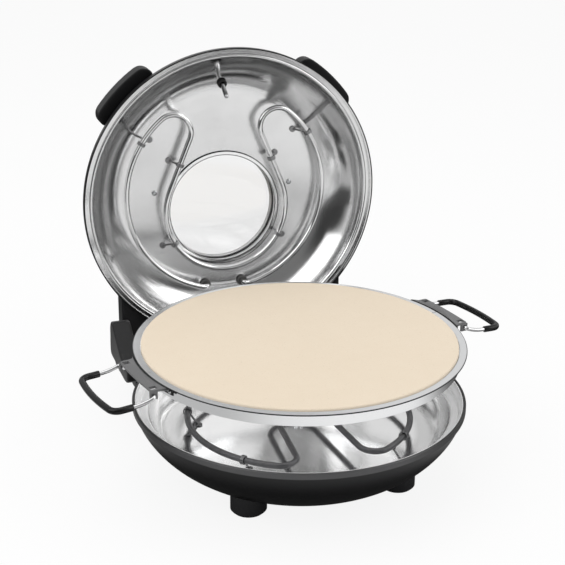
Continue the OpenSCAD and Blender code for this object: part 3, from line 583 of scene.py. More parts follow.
def node_tree(name, **inputs):
    """A geometry tree that takes a shape, the named inputs and a finish."""
    tree = bpy.data.node_groups.new(name, "GeometryNodeTree")
    for label, kind in {"Geometry": "Geometry", **inputs, "Finish": "Material"}.items():
        tree.interface.new_socket(label, in_out="INPUT", socket_type="NodeSocket" + kind)
    tree.interface.new_socket("Geometry", in_out="OUTPUT", socket_type="NodeSocketGeometry")
    return tree, tree.nodes.new("NodeGroupInput"), tree.nodes.new("NodeGroupOutput")


def socket_id(tree, label):
    return next(i.identifier for i in tree.interface.items_tree if i.name == label and i.in_out == "INPUT")


def dressed(tree, start, end, shape):
    """Ends a tree: the shape made real and given the finish."""
    real = tree.nodes.new("GeometryNodeRealizeInstances")
    tree.links.new(shape, real.inputs[0])
    dress = tree.nodes.new("GeometryNodeSetMaterial")
    tree.links.new(real.outputs[0], dress.inputs["Geometry"])
    tree.links.new(start.outputs["Finish"], dress.inputs["Material"])
    tree.links.new(dress.outputs[0], end.inputs[0])
    return tree


def round_tube_tree():
    """A round tube or wire along a path, with closed ends."""
    tree, start, end = node_tree("round_tube", Radius="Float", Sides="Int")
    link = tree.links.new
    ring = tree.nodes.new("GeometryNodeCurvePrimitiveCircle")
    link(start.outputs["Sides"], ring.inputs["Resolution"])
    link(start.outputs["Radius"], ring.inputs["Radius"])
    swept = tree.nodes.new("GeometryNodeCurveToMesh")
    swept.inputs["Fill Caps"].default_value = True
    link(start.outputs["Geometry"], swept.inputs["Curve"])
    link(ring.outputs["Curve"], swept.inputs["Profile Curve"])
    return dressed(tree, start, end, swept.outputs["Mesh"])


def repeated_tree():
    """One small piece repeated on points, each turned by the point's own angles."""
    tree, start, end = node_tree("repeated", Piece="Object", Size="Float")
    link = tree.links.new
    source = tree.nodes.new("GeometryNodeObjectInfo")
    source.inputs["As Instance"].default_value = True
    link(start.outputs["Piece"], source.inputs["Object"])
    turn = tree.nodes.new("GeometryNodeInputNamedAttribute")
    turn.data_type = "FLOAT_VECTOR"
    turn.inputs["Name"].default_value = "turn"
    put = tree.nodes.new("GeometryNodeInstanceOnPoints")
    link(start.outputs["Geometry"], put.inputs["Points"])
    link(source.outputs["Geometry"], put.inputs["Instance"])
    link(turn.outputs["Attribute"], put.inputs["Rotation"])
    link(start.outputs["Size"], put.inputs["Scale"])
    return dressed(tree, start, end, put.outputs["Instances"])


ROUND_TUBE = round_tube_tree()
REPEATED = repeated_tree()


def through_tree(holder, tree, values):
    modifier = holder.modifiers.new(tree.name, "NODES")
    modifier.node_group = tree
    for label, value in values.items():
        modifier[socket_id(tree, label)] = value


def tube(name, path, radius, finish, place=SEATED, sides=20):
    """A bent round tube or wire through points in millimetres."""
    data = bpy.data.curves.new(name, "CURVE")
    data.dimensions = "3D"
    spline = data.splines.new("POLY")
    spline.points.add(len(path) - 1)
    for point, where in zip(spline.points, path):
        point.co = (where[0] * MM, where[1] * MM, where[2] * MM, 1)
    holder = linked(name + "_path", data)
    through_tree(holder, ROUND_TUBE, {"Radius": radius * MM, "Sides": sides, "Finish": FINISHES[finish]})
    return settled(holder, name, place)


def repeated(name, master, spots, finish, place):
    """Copies of a master at spots: (position in millimetres, direction its +z points)."""
    mesh = bpy.data.meshes.new(name + "_spots")
    mesh.from_pydata([tuple(v * MM for v in where) for where, _ in spots], [], [])
    turns = mesh.attributes.new("turn", "FLOAT_VECTOR", "POINT")
    for item, (_, way) in zip(turns.data, spots):
        item.vector = Vector(way).to_track_quat("Z", "Y").to_euler()
    holder = linked(name + "_spots", mesh)
    through_tree(holder, REPEATED, {"Piece": master, "Size": 1.0, "Finish": FINISHES[finish]})
    made = settled(holder, name, place)
    bpy.data.objects.remove(master)
    return made


def moulded(node, width, segments, name):
    """A CAD node's own shape with its hard edges eased."""
    mesh = frame["nodes"][node].data.copy()
    bm = bmesh.new()
    bm.from_mesh(mesh)
    bmesh.ops.remove_doubles(bm, verts=bm.verts, dist=2e-6)
    bmesh.ops.dissolve_limit(bm, angle_limit=math.radians(0.6), verts=bm.verts, edges=bm.edges)
    bm.to_mesh(mesh)
    bm.free()
    mesh.materials.clear()
    holder = linked(node + "_shape", mesh)
    bevel = holder.modifiers.new("ease", "BEVEL")
    bevel.width, bevel.segments = width * MM, segments
    bevel.limit_method, bevel.angle_limit = "ANGLE", math.radians(30)
    bevel.use_clamp_overlap = True
    bevel.miter_outer = "MITER_ARC"
    return settled(holder, name)


def softened(node, grain, rounds, name):
    """A CAD node's own shape with every edge and corner rounded, as a thick moulding has them."""
    mesh = frame["nodes"][node].data.copy()
    mesh.materials.clear()
    holder = linked(node + "_shape", mesh)
    skin = holder.modifiers.new("skin", "REMESH")
    skin.mode, skin.voxel_size = "VOXEL", grain * MM
    ease = holder.modifiers.new("ease", "SMOOTH")
    ease.factor, ease.iterations = 0.5, rounds
    return settled(holder, name)


def joined(name, parts):
    """Several meshes as one piece."""
    bm = bmesh.new()
    for part in parts:
        bm.from_mesh(part.data)
        bpy.data.objects.remove(part)
    return piece_from(name, bm)


def hand_over(made, body, slot, *nodes, finish=None):
    """Gives a piece its finish, its body and the nodes that it stands for."""
    made.data.materials.clear()
    made.data.materials.append(FINISHES[finish or slot])
    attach(made, body)
    if nodes:
        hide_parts(*nodes)
    return made


def along(point, way, frame_of=SEATED):
    """A frame with its origin at a point in millimetres and its z along a direction."""
    turn = Vector(way).to_track_quat("Z", "Y").to_matrix().to_4x4()
    return frame_of @ Matrix.Translation(Vector(point) * MM) @ turn


def polar(r, degrees, z=0.0):
    a = math.radians(degrees)
    return (r * math.cos(a), r * math.sin(a), z)


def inner_radius(outline, wall, z):
    """The radius inside a turned wall, at a height."""
    heights, radii = zip(*sorted((high, r) for r, high in beside(outline, wall)))
    return float(np.interp(z, heights, radii))


def radial_spots(angles, r, z):
    """Places at angles from the front, each pointing at the axis."""
    return [(polar(r, a - 90, z), polar(-1, a - 90)) for a in angles]


# ---------------------------------------------------------------- base: pressed bowl in a painted shell
SHELL_CURVE = curve([(163, 70), (157, 42), (121, 8), (82, SHELL_Z)], 36)
BOWL_CURVE = curve([(149.6, 63), (146.2, 48), (138.2, FLOOR_Z), (118.2, FLOOR_Z)], 24)


def cut(made, cutters):
    """Takes cutters out of a piece."""
    for cutter in cutters:
        step = made.modifiers.new("cut", "BOOLEAN")
        step.object, step.solver = cutter, "EXACT"
    name = made.name
    made.name = name + "_blank"
    done = settled(made, name)
    for cutter in cutters:
        bpy.data.objects.remove(cutter)
    return done


def block(name, x, y, z, turn):
    """A plain cutter between two values on each axis, turned about the vertical."""
    bm = bmesh.new()
    bmesh.ops.create_cube(bm, size=1.0)
    size = [(v[1] - v[0]) * MM for v in (x, y, z)]
    middle = [(v[1] + v[0]) / 2 * MM for v in (x, y, z)]
    bmesh.ops.scale(bm, vec=size, verts=bm.verts)
    bmesh.ops.translate(bm, vec=middle, verts=bm.verts)
    bmesh.ops.rotate(bm, cent=(0, 0, 0), matrix=Matrix.Rotation(math.radians(turn), 3, "Z"), verts=bm.verts)
    return piece_from(name, bm)


def make_base_shell():
    rim = [(162.2, 75.7), (163.0, RIM_TOP), (164.0, RIM_TOP), (RIM_R, 75.5), (RIM_R, 70.5)]
    inside = [p for p in beside(SHELL_CURVE, -SHELL_T) if p[1] < 57.8]
    ledge = [(155, 60.8), (155, 63.8), (159, 63.8), (159, 68), (162.2, 71.5)]
    section = eased(rim, 0.8) + SHELL_CURVE + [(0, SHELL_Z), (0, SHELL_Z + SHELL_T)] + inside[::-1] + ledge
    made = turned("base_shell_pressing", section, steps=300)
    through = (SHELL_Z - 1, SHELL_Z + SHELL_T + 1)
    vents = [block("vent", (34, 64), (-2, 2), through, 22.5 + 45 * i) for i in range(8)]
    return hand_over(cut(made, vents), "base", "shell_black", "base_shell")


make_base_shell()


def make_base_liner():
    path = [(161.1, 75.7), (161.1, 72), (157.9, 68.5), (157.9, FLANGE_Z), (151.2, FLANGE_Z), (149.6, 63)]
    path = eased(path, 1.6, count=6)[:-1] + BOWL_CURVE + [(0, FLOOR_Z)]
    made = turned("base_bowl", walled(path, LINER_T), steps=360)
    return hand_over(made, "base", "bowl_steel", "base_liner")


make_base_liner()


def half_heater(z, turn_r, hair_at, hair_r, bend_y, bend_r, side, tail):
    """The right half of a heater: terminal, outer turn, hairpin at the front, straight leg, inner bend."""
    head, elbow, start = math.radians(-15), 8.0, 75.0
    a = math.radians(hair_at)
    hair = np.array([math.sin(a), -math.cos(a)]) * (turn_r - hair_r)
    gap = np.array([0, bend_y]) - hair
    reach = float(np.hypot(*gap))
    touch = math.degrees(math.atan2(gap[1], gap[0]) + math.acos((hair_r + bend_r) / reach))
    first = polar(turn_r, start)

    def at_elbow(q):
        s, c = math.sin(math.radians(q)), math.cos(math.radians(q))
        x, y = first[0] - elbow * math.cos(head) * s, first[1] - elbow * math.sin(head) * s
        return (x, y, z - side * (elbow * (1 - c)))

    end = at_elbow(90)
    path = [(end[0], end[1], z - side * tail)] + [at_elbow(q) for q in range(90, 0, -10)]
    path += [(*v, z) for v in arc((0, 0), turn_r, start, hair_at - 90, 60)]
    path += [(*v, z) for v in arc(hair, hair_r, hair_at - 90, touch - 360, 30)]
    path += [(*v, z) for v in arc((0, bend_y), bend_r, touch - 180, 90, 32)]
    return path, end


def whole_heater(half):
    """The right half and its mirror image, joined at the middle of the inner bend."""
    return half + [(-x, y, z) for x, y, z in half[-2::-1]]


BASE_HALF, BASE_END = half_heater(BASE_HEATER_Z, **BASE_COIL)
LID_HALF, LID_END = half_heater(LID_HEATER_Z, **LID_COIL)
base_tube = tube("base_heater_tube", whole_heater(BASE_HALF), TUBE_R, "heater_dark", sides=24)
hand_over(base_tube, "base", "heater_dark", "base_heater")
lid_tube = tube("lid_heater_tube", whole_heater(LID_HALF), TUBE_R, "heater_bright", OPENED, sides=24)
hand_over(lid_tube, "lid", "heater_bright", "lid_heater")


def clip(point, heading, foot, z, face, place):
    """A strap round the tube, a slanted leg and a round foot pressed on the plate."""
    side = 1 if face > z else -1
    point3, foot3 = Vector((point[0], point[1], z)), Vector((foot[0], foot[1], face - side * 0.8))
    way = Vector(polar(1, heading))
    strap = eased([(3.5, -2), (4.6, -2), (4.6, 2), (3.5, 2)], 0.4, closed=True)
    parts = [turned("strap", strap, along(point3, way, place), steps=32)]
    leg = (foot3 - point3).normalized()
    start = point3 + leg * 4.0
    bend = foot3 - Vector((leg.x, leg.y, 0)).normalized() * 0.6
    parts.append(tube("leg", [start, start.lerp(bend, 0.5), bend, foot3], 1.1, "clip_steel", place, sides=12))
    low, high = sorted((face - side * 0.2, face - side * 1.4))
    foot_edge = eased([(0, low), (3.6, low), (3.6, high), (0, high)], 0.35)
    parts.append(turned("foot", foot_edge, place, steps=40, centre=foot[:2]))
    return parts


def clip_set(name, clips, z, face, place):
    """Clips and their mirror images: (place on the tube, heading of the tube, place of the foot)."""
    parts = []
    for mirror in (1, -1):
        for (x, y), heading, (foot_x, foot_y) in clips:
            parts += clip((mirror * x, y), mirror * heading, (mirror * foot_x, foot_y), z, face, place)
    return joined(name, parts)


def longest_leg(half):
    """The middle of a heater's straight leg, and its heading."""
    i = max(range(20, len(half) - 1), key=lambda i: (Vector(half[i + 1]) - Vector(half[i])).length)
    one, two = Vector(half[i]), Vector(half[i + 1])
    return (one + two) / 2, math.degrees(math.atan2(two.y - one.y, two.x - one.x))


def make_clips():
    turn = BASE_COIL["turn_r"]
    spots = [(polar(turn, a)[:2], a + 90, polar(turn - 11, a)[:2]) for a in (-43, 20)]
    made = clip_set("base_clips", spots, BASE_HEATER_Z, FLOOR_Z, SEATED)
    hand_over(made, "base", "clip_steel", "base_heater_clips", finish="clip_dark")
    turn, bend, bend_y = LID_COIL["turn_r"], LID_COIL["bend_r"], LID_COIL["bend_y"]
    (x, y, _), (foot_x, foot_y, _) = polar(bend, 30), polar(bend + 12, 30)
    leg, way = longest_leg(LID_HALF)
    spots = [
        (polar(turn, -33)[:2], 57, polar(turn - 10, -37)[:2]),
        ((x, y + bend_y), 120, (foot_x, foot_y + bend_y)),
        ((leg.x, leg.y), way, (leg.x + 9, leg.y - 2)),
    ]
    made = clip_set("lid_clips", spots, LID_HEATER_Z, LID_Z + PLATE_D, OPENED)
    hand_over(made, "lid", "clip_steel", "lid_heater_clips", finish="clip_mid")


make_clips()


def bushes(name, end, collar, far, place):
    """Two ceramic sleeves, one at each end of a heater, each with a collar and a barrel."""
    bore, barrel, brim, top = 3.2, 4.6, 5.8, collar + 2
    if far < collar:
        section = [(bore, far), (barrel, far), (barrel, collar), (brim, collar), (brim, top), (bore, top)]
    else:
        section = [(bore, collar), (brim, collar), (brim, top), (barrel, top), (barrel, far), (bore, far)]
    section = eased(section, 0.4, closed=True)
    at = [(m * end[0], end[1]) for m in (1, -1)]
    return joined(name, [turned("bush", section, place, steps=48, centre=centre) for centre in at])


base_bushes = bushes("base_ceramic_bushes", BASE_END, FLOOR_Z + 0.2, FLOOR_Z - 8, SEATED)
hand_over(base_bushes, "base", "ceramic_white", "base_heater_bushes")
lid_bushes = bushes("lid_ceramic_bushes", LID_END, LID_Z + 38.3, LID_Z + 48, OPENED)
hand_over(lid_bushes, "lid", "ceramic_white", "lid_heater_bushes", finish="ceramic_grey")


def screw_master(head_r, head_h, shank_r, length):
    """A pan-head screw with a cross recess; it points down from the underside of its head."""
    shank = [(0, -length), (shank_r * 0.7, -length), (shank_r, -length + 0.6), (shank_r, 0)]
    side = [(head_r, 0), (head_r, head_h * 0.45)]
    crown = [(head_r * 0.88, head_h * 0.75), (head_r * 0.6, head_h * 0.95), (0, head_h)]
    made = turned("screw_blank", shank + side + crown, steps=32)
    w, reach, deep = head_r * 0.15, head_r * 0.62, head_h * 0.5
    cross = [block("cross", (-reach, reach), (-w, w), (head_h - deep, head_h + 1), t) for t in (0, 90)]
    return cut(made, cross)


def rivet_master():
    head = [(0, -3.4), (1.2, -3.35), (2.0, -3.1), (2.4, -2.65)]
    shank = [(1.5, -2.65), (1.5, 1.3)]
    tail = [(2.4, 1.3), (2.2, 1.55), (1.2, 1.7), (0, 1.7)]
    return turned("rivet_blank", head + shank + tail, steps=28)


def screws(name, body, node, spots, place, head_r, head_h, shank_r, length):
    made = repeated(name, screw_master(head_r, head_h, shank_r, length), spots, "screw_steel", place)
    return hand_over(made, body, "screw_steel", node)


FEET = {
    f"foot_{row}_{side}": (x * FOOT_AT, y * FOOT_AT)
    for row, y in (("front", -1), ("rear", 1))
    for side, x in (("left", -1), ("right", 1))
}


def make_feet():
    """Round moulded feet cut to the shell's slope, with a soft pad and a screw under each."""
    for node in FEET:
        hand_over(moulded(node, 0.5, 3, node + "_cup"), "base", "foot_plastic", node)
    pad = eased([(5, 0), (14.6, 0), (15, 0.6), (15, 3), (5, 3)], 0.4, closed=True)
    pads = [turned("pad", pad, steps=72, centre=at) for at in FEET.values()]
    hand_over(joined("foot_soles", pads), "base", "black_rubber", "foot_pads")
    spots = [((x, y, 6.4), (0, 0, -1)) for x, y in FEET.values()]
    screws("foot_screw_set", "base", "foot_screws", spots, SEATED, 4, 2.4, 1.7, 12)


make_feet()


def make_housing():
    hand_over(softened("hinge_housing", 1.5, 5, "hinge_cover"), "base", "black_plastic", "hinge_housing")
    screw_z = RIM_TOP - 20.5
    r = inner_radius(SHELL_CURVE, -SHELL_T, screw_z - 3.5) - 0.3
    spots = radial_spots([180 + a for a in (-40, -20, 20, 40)], r, screw_z)
    screws("housing_screw_set", "base", "housing_screws", spots, SEATED, 3, 2.2, 1.5, 21)
    pin = eased([(0, 0), (4, 0), (4, PIN_LENGTH), (0, PIN_LENGTH)], 0.6)
    pins = [turned("pin", pin, along((m * PIN_X, HINGE_Y, HINGE_Z), (m, 0, 0)), steps=48) for m in (1, -1)]
    hand_over(joined("hinge_pin_pair", pins), "base", "screw_steel", "hinge_pins")
    section = [(3.2, -6.4), (7.5, -6.4), (7.5, -4.2), (5, -4.2), (5, 0.2), (8, 0.2), (7, 3), (3.2, 3)]
    section = eased(section, 0.5, closed=True)
    gland = turned("inlet_gland", section, along((0, HINGE_Y + 8.4, 40), (0, 1, 0)), steps=48)
    hand_over(gland, "base", "black_rubber", "cord_gland")


make_housing()


def make_base_fittings():
    """What sits under the bowl: thermostat, terminal block and their screws."""
    hand_over(moulded("terminal_block", 0.6, 2, "terminal_body"), "base", "ceramic_white", "terminal_block")
    can = moulded("thermostat", 0.4, 2, "thermostat_can")
    hand_over(can, "base", "clip_steel", "thermostat", finish="screw_steel")
    spots = [((m * 11, 102, 34.6), (0, 0, 1)) for m in (1, -1)]
    screws("terminal_screw_set", "base", "terminal_screws", spots, SEATED, 2.6, 1.5, 1.2, 18)
    spots = [((m * 3, 0, FLOOR_Z + 0.1), (0, 0, 1)) for m in (1, -1)]
    screws("thermostat_screw_set", "base", "thermostat_screws", spots, SEATED, 2.2, 1.3, 0.9, 6)


make_base_fittings()


# ---------------------------------------------------------------- tray: ring, brackets and bails
def make_ring():
    """Two half rings: a flat top, a sloping wall and a shelf under the stone."""
    top = [(163.0, RING_LOW), (163.0, RING_TOP), (155.6, RING_TOP), (155.6, RING_LOW)]
    wall = [(157.4, RING_LOW), (155.6, 66.5), (147, 66.5), (147, 65.3), (156.6, 65.3), (158.6, RING_LOW)]
    section = eased(top + wall, 0.5, closed=True, count=3)
    for node, first in (("ring_rear", TRAY_TURN), ("ring_front", 180 + TRAY_TURN)):
        made = turned(node + "_pressing", section, RAISED, steps=360, first=first + 0.15, sweep=179.7)
        hand_over(made, "tray", "ring_steel", node)
    spots = []
    for side in (0, 180):
        for a in (-12.8, -4.5, 4.5, 12.8):
            turn = TRAY_TURN + side + a
            spots.append((polar(159.0, turn, 74.4), polar(1, turn)))
    made = repeated("bracket_rivets", rivet_master(), spots, "screw_steel", RAISED)
    hand_over(made, "tray", "screw_steel", "ring_rivets")
    for side in ("left", "right"):
        node = "handle_bracket_" + side
        hand_over(moulded(node, 0.35, 2, node + "_plate"), "tray", "bracket_grey", node)


make_ring()

STONE_EDGE = eased([(0, STONE_LOW), (STONE_R, STONE_LOW), (STONE_R, STONE_TOP), (0, STONE_TOP)], 1.3, count=8)
stone_disc = turned("baking_stone_disc", STONE_EDGE, RAISED, steps=300)
hand_over(stone_disc, "stone", "stone", "pizza_stone")
# the polished bowls mirror the tent and not the stone
stone_disc.visible_glossy = False


def make_bail(side):
    """Round wire from ear to ear, and a dark sleeve round the part that the fingers hold."""
    dip, leg_w, bend, level = 18.0, 40.4, 3.2, 58.0
    s, c = math.sin(math.radians(dip)), math.cos(math.radians(dip))

    def tip(u, w):
        return (u * c, w, -u * s)

    def leg(q):
        a = math.radians(q)
        return bend * c + level * (s - math.sin(a)), -bend * s - level * (math.cos(a) - c)

    loop_z = leg(0)[1]
    corner_r, corner_w, bar_r = 9.0, leg_w - 9.0, PIVOT_R + 44.5
    corner_u = math.sqrt((bar_r - corner_r) ** 2 - corner_w**2) - PIVOT_R
    swing = math.degrees(math.asin(corner_w / (bar_r - corner_r)))
    near = [tip(0, -31.5), tip(0, -34.0)]
    near += [tip(*p) for p in arc((bend, -leg_w + bend), bend, 180, 264, 8)]
    near += [(leg(q)[0], -leg_w, leg(q)[1]) for q in np.arange(dip, -0.1, -2)]
    loop = [(*p, loop_z) for p in arc((corner_u, -corner_w), corner_r, -90, -swing, 10)]
    loop += [(*p, loop_z) for p in arc((-PIVOT_R, 0), bar_r, -swing, swing, 20)[1:]]
    loop += [(*p, loop_z) for p in arc((corner_u, corner_w), corner_r, swing, 90, 10)[1:]]
    far = [(u, -w, z) for u, w, z in reversed(near)]
    node = "left" if side < 0 else "right"
    place = on_pivot(side)
    wire = tube(f"bail_{node}_wire", near + loop + far, 1.9, "wire_steel", place, sides=20)
    hand_over(wire, f"bail_{node}", "wire_steel", f"bail_wire_{node}")
    u0 = leg(0)[0]
    ends = [((u0 + d, -leg_w, loop_z), r) for d, r in ((1.0, 2.4), (1.15, 2.9), (1.6, 3.2))]
    path = [p for p, _ in ends] + loop + [(u, -w, z) for (u, w, z), _ in reversed(ends)]
    sleeve = sleeved(f"bail_{node}_sleeve", path, [r for _, r in ends], 3.2, place)
    hand_over(sleeve, f"bail_{node}", "sleeve_black", f"bail_sleeve_{node}")


def sleeved(name, path, ends, radius, place, sides=24):
    """A tube along a level path whose radius grows over its first points and falls over its last."""
    radii = list(ends) + [radius] * (len(path) - 2 * len(ends)) + list(ends)[::-1]
    bm = bmesh.new()
    rings = []
    for i, here in enumerate(path):
        before, after = Vector(path[max(i - 1, 0)]), Vector(path[min(i + 1, len(path) - 1)])
        way = (after - before).normalized()
        side = Vector((-way.y, way.x, 0)).normalized()
        up = way.cross(side)
        rings.append([])
        for k in range(sides):
            a = 2 * math.pi * k / sides
            out = math.cos(a) * side + math.sin(a) * up
            rings[-1].append(bm.verts.new((Vector(here) + radii[i] * out) * MM))
    for one, two in zip(rings, rings[1:]):
        for k in range(sides):
            m = (k + 1) % sides
            bm.faces.new((one[k], one[m], two[m], two[k]))
    bm.faces.new(rings[0])
    bm.faces.new(rings[-1][::-1])
    bmesh.ops.recalc_face_normals(bm, faces=bm.faces)
    return piece_from(name, bm, place)


make_bail(-1)
make_bail(1)

# ---------------------------------------------------------------- lid
LID_CURVE = [(r, LID_Z + d) for r, d in curve([(166, 6), (163, 20), (145, 56), (96, LID_H)], 36)]
LINER_CURVE = curve([(155.4, 9), (147, 27), (130, PLATE_D), (112, PLATE_D + 1)], 30)
LINER_CURVE = [(r, LID_Z + d) for r, d in LINER_CURVE]


def with_window(name, path, wall):
    """A turned wall of the lid with the window's hole cut out, swung open."""
    low, high = LID_Z + 20, LID_Z + 90
    hole = [(0, low), (WINDOW_R, low), (WINDOW_R, high), (0, high)]
    made = turned(name, walled(path, wall), steps=360)
    made = cut(made, [turned("cutter", hole, steps=240, centre=(0, WINDOW_Y))])
    made.data.transform(OPENED)
    return made


def make_lid_shell():
    path = [(LID_R, LID_Z)] + LID_CURVE + [(0, LID_Z + LID_H)]
    made = with_window("lid_shell_pressing", path, LID_T)
    return hand_over(made, "lid", "shell_black", "lid_shell")


def make_lid_liner():
    lip = [(164.7, 0.2), (164.7, 5), (159, 5), (158.2, 3.8), (157, 3.8), (156.2, 5), (155.4, 9)]
    lip = eased([(r, LID_Z + d) for r, d in lip], 1.2, count=5)
    path = lip[:-1] + LINER_CURVE + [(0, LID_Z + PLATE_D + 1)]
    made = with_window("lid_bowl", path, LINER_T)
    return hand_over(made, "lid", "bowl_steel", "lid_liner", finish="lid_steel")


make_lid_shell()
make_lid_liner()


def in_window(name, section, slot, node, ease=0.3, finish=None):
    """A round piece of the window, its section given as radius and depth over the lip."""
    section = eased([(r, LID_Z + d) for r, d in section], ease, closed=section[0][0] > 0)
    made = turned(name, section, OPENED, steps=300, centre=(0, WINDOW_Y))
    return hand_over(made, "lid", slot, node, finish=finish)


def plain_ring(inner, outer, low, high):
    return [(inner, low), (outer, low), (outer, high), (inner, high)]


def make_window():
    """Two panes with a spacer between them, a gasket, and a rim on each side."""
    in_window("window_inner_pane", plain_ring(0, 69, 43.2, 46.2), "window_glass", "inner_glass")
    in_window("window_outer_pane", plain_ring(0, 69, 55.6, 58.6), "window_glass", "outer_glass")
    in_window("window_gasket_ring", plain_ring(69.2, 72.2, 43.2, 46.2), "white_rubber", "window_gasket", 0.6)
    spacer = plain_ring(65, 66.2, 46.4, 55.4)
    in_window("window_spacer", spacer, "clip_steel", "window_sleeve", finish="satin_bright")
    # each rim is a flat ring with a lip towards its pane
    flat = [(61.5, 40.5), (66.5, 40.5), (66.5, 41.8)]
    lip = [(63.7, 41.8), (63.7, 43), (62.5, 43), (62.5, 41.8)]
    section = flat + lip + [(61.5, 41.8)]
    in_window("window_inner_rim", section, "bowl_steel", "inner_bezel", 0.5, finish="window_rim")
    flat = [(69, 60.2), (69, 61.6), (61.5, 61.6)]
    lip = [(62.5, 60.2), (62.5, 58.8), (63.7, 58.8), (63.7, 60.2)]
    section = [(61.5, 60.2)] + lip + flat
    in_window("window_outer_rim", section, "bezel_black", "outer_bezel", 0.5, finish="outer_rim")


make_window()


def make_probe():
    tip, foot = Vector((0, -108, LID_Z + 21.5)), Vector((0, -119, LID_Z + 38))
    way = (foot - tip).normalized()
    length = (foot - tip).length + 7
    angles = [math.radians(a) for a in range(0, 91, 10)]
    nose = [(2.5 * math.sin(a), 2.5 - 2.5 * math.cos(a)) for a in angles]
    rod = turned("probe_rod", nose + [(2.5, length), (0, length)], along(tip, way, OPENED), steps=40)
    hand_over(rod, "lid", "screw_steel", "temperature_probe", finish="heater_bright")
    seat = Matrix.Translation(Vector((0, -120.4, LID_Z + PLATE_D - 1.5)) * MM)
    seat = seat @ Matrix.Rotation(math.radians(13), 4, "X")
    section = eased([(2.9, -3.2), (4.9, -3.2), (5.2, -2.9), (5.2, -0.8), (2.9, -0.8)], 0.4, closed=True)
    ring = turned("probe_grommet", section, OPENED @ seat, steps=48)
    hand_over(ring, "lid", "black_rubber", "probe_seal")


make_probe()


def make_lid_fittings():
    for side in ("left", "right"):
        grip = softened("grip_" + side, 1.0, 14, f"grip_{side}_moulding")
        hand_over(grip, "lid", "black_plastic", "grip_" + side, finish="grip_black")
    r = inner_radius(LID_CURVE, LID_T, LID_Z + 31) - 0.5
    spots = radial_spots([s * 44 + b for s in (-1, 1) for b in (-6, 6)], r, LID_Z + 28)
    screws("grip_screw_set", "lid", "grip_screws", spots, OPENED, 3, 2, 1.5, 13)
    arms = moulded("lid_hinge_bracket", 1.2, 3, "hinge_arm_moulding")
    hand_over(arms, "lid", "black_plastic", "lid_hinge_bracket")
    r = inner_radius(LID_CURVE, LID_T, LID_Z + 17.3) - 1.4
    spots = radial_spots([180 + a for a in (-42, -17.5, 17.5, 42)], r, LID_Z + 14.5)
    screws("bracket_screw_set", "lid", "bracket_screws", spots, OPENED, 2.8, 2, 1.5, 13)
    spots = [((m * 79, -1, LID_Z + PLATE_D - 0.1), (0, 0, -1)) for m in (1, -1)]
    screws("plate_screw_set", "lid", "plate_screws", spots, OPENED, 3, 1.6, 1.4, 9)


make_lid_fittings()

# any solid that is shown as it stands gets its slot's finish
slots = {row["node"]: row["material_slot"] for row in frame["record"]["subparts"]}
for name, solid in frame["nodes"].items():
    for slot in solid.material_slots:
        slot.material = FINISHES[slots[name]]


# ---------------------------------------------------------------- floor, world and lamps
WHITE, FLOOR_GLOW, EVEN_LIGHT = (1, 1, 1), 0.88, 0.65
# what polished metal sees of the floor: patches with their centre, radius of the full part and of the edge,
# and brightness, each laid over the ones before it
FLOOR_LEVEL = 0.07
FLOOR_PATCHES = (
    (0.25, -0.85, 0.55, 1.25, 0.92),
    (-0.42, 0.12, 0.22, 0.48, 0.52),
    (0.62, 0.2, 0.32, 0.58, 0.08),
    (0, 0, 0.15, 0.22, 0.04),
)
# what it sees of the studio tent: panels with their azimuth from the front, height, half-angle of the full
# part and of the edge, all in degrees, and brightness
TENT_LEVEL = 0.72
TENT = (
    (-15, 16, 25, 52, 0.2),
    (-52, -2, 18, 38, 0.05),
    (-80, 42, 12, 34, 0.75),
    (82, 18, 24, 48, 1.25),
    (35, 0, 6, 22, 0.70),
)


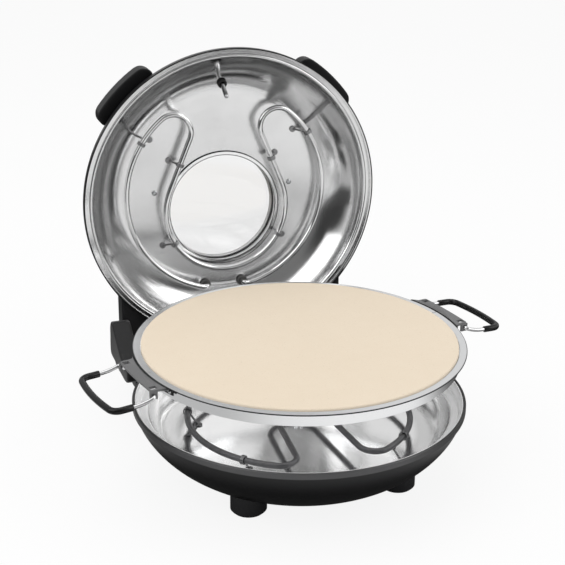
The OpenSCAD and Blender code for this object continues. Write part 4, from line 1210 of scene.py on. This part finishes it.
def make_floor():
    """Nearly white to the camera, matt to lamps, and patches of light and dark in polished metal."""
    bm = bmesh.new()
    bmesh.ops.create_grid(bm, x_segments=1, y_segments=1, size=6.0)
    mesh = bpy.data.meshes.new("floor")
    bm.to_mesh(mesh)
    bm.free()
    pale = bpy.data.materials.new("floor_pale")
    pale.use_nodes = True
    nodes = Nodes(pale.node_tree)
    where = nodes.add("ShaderNodeNewGeometry", out="Position")
    mirrored = FLOOR_LEVEL
    for x, y, inner, outer, value in FLOOR_PATCHES:
        gap = nodes.measure("DISTANCE", where, (x, y, 0))
        mirrored = nodes.over(gap.stepped(outer, inner), mirrored, value)
    seen, glossy = nodes.rays()
    matt = nodes.add("ShaderNodeBsdfDiffuse", None, {"Color": (0.9, 0.9, 0.9)})
    white = nodes.add("ShaderNodeEmission", None, {"Color": WHITE})
    glow = nodes.add("ShaderNodeEmission", None, {"Color": mirrored})
    plain = nodes.add("ShaderNodeMixShader", None, {0: seen * FLOOR_GLOW, 1: matt, 2: white})
    polished = nodes.add("ShaderNodeMath", {"operation": "SUBTRACT", "use_clamp": True}, {0: glossy, 1: seen})
    shown = nodes.add("ShaderNodeMixShader", None, {0: polished, 1: plain, 2: glow})
    nodes.show(shown, "ShaderNodeOutputMaterial")
    mesh.materials.append(pale)
    linked("floor", mesh)


def make_world():
    """White to the camera and through glass, even light on matt faces, a panelled tent in polished ones."""
    world = bpy.data.worlds.new("studio")
    bpy.context.scene.world = world
    world.use_nodes = True
    nodes = Nodes(world.node_tree)
    way = nodes.add("ShaderNodeTexCoord", out="Generated")
    mirrored = TENT_LEVEL
    for *angles, value in TENT:
        azimuth, height, inner, outer = (math.radians(a) for a in angles)
        aim = nodes.measure("DOT_PRODUCT", way, direction(azimuth, height))
        mirrored = nodes.over(aim.stepped(math.cos(outer), math.cos(inner)), mirrored, value)
    tent = nodes.add("ShaderNodeBackground", None, {"Color": mirrored})
    even = nodes.add("ShaderNodeBackground", None, {"Color": WHITE, "Strength": EVEN_LIGHT})
    white = nodes.add("ShaderNodeBackground", None, {"Color": WHITE})
    seen, glossy = nodes.rays()
    lit = nodes.add("ShaderNodeMixShader", None, {0: glossy, 1: even, 2: tent})
    shown = nodes.add("ShaderNodeMixShader", None, {0: seen, 1: lit, 2: white})
    nodes.show(shown, "ShaderNodeOutputWorld")


def softbox(name, at, towards, size, power):
    data = bpy.data.lights.new(name, "AREA")
    data.shape, data.size, data.size_y, data.energy = "RECTANGLE", size[0], size[1], power
    lamp = linked(name, data)
    lamp.location = at
    lamp.rotation_euler = (Vector(towards) - Vector(at)).to_track_quat("-Z", "Y").to_euler()


make_floor()
make_world()
softbox("key_softbox", (-1.45, -0.25, 1.5), (0, 0, 0.12), (1.8, 1.8), 14)
softbox("fill_softbox", (1.3, -0.7, 1.1), (0, 0, 0.12), (1.0, 1.0), 5)
softbox("top_softbox", (0.1, 0.5, 1.9), (0, 0, 0.1), (1.4, 1.0), 7)
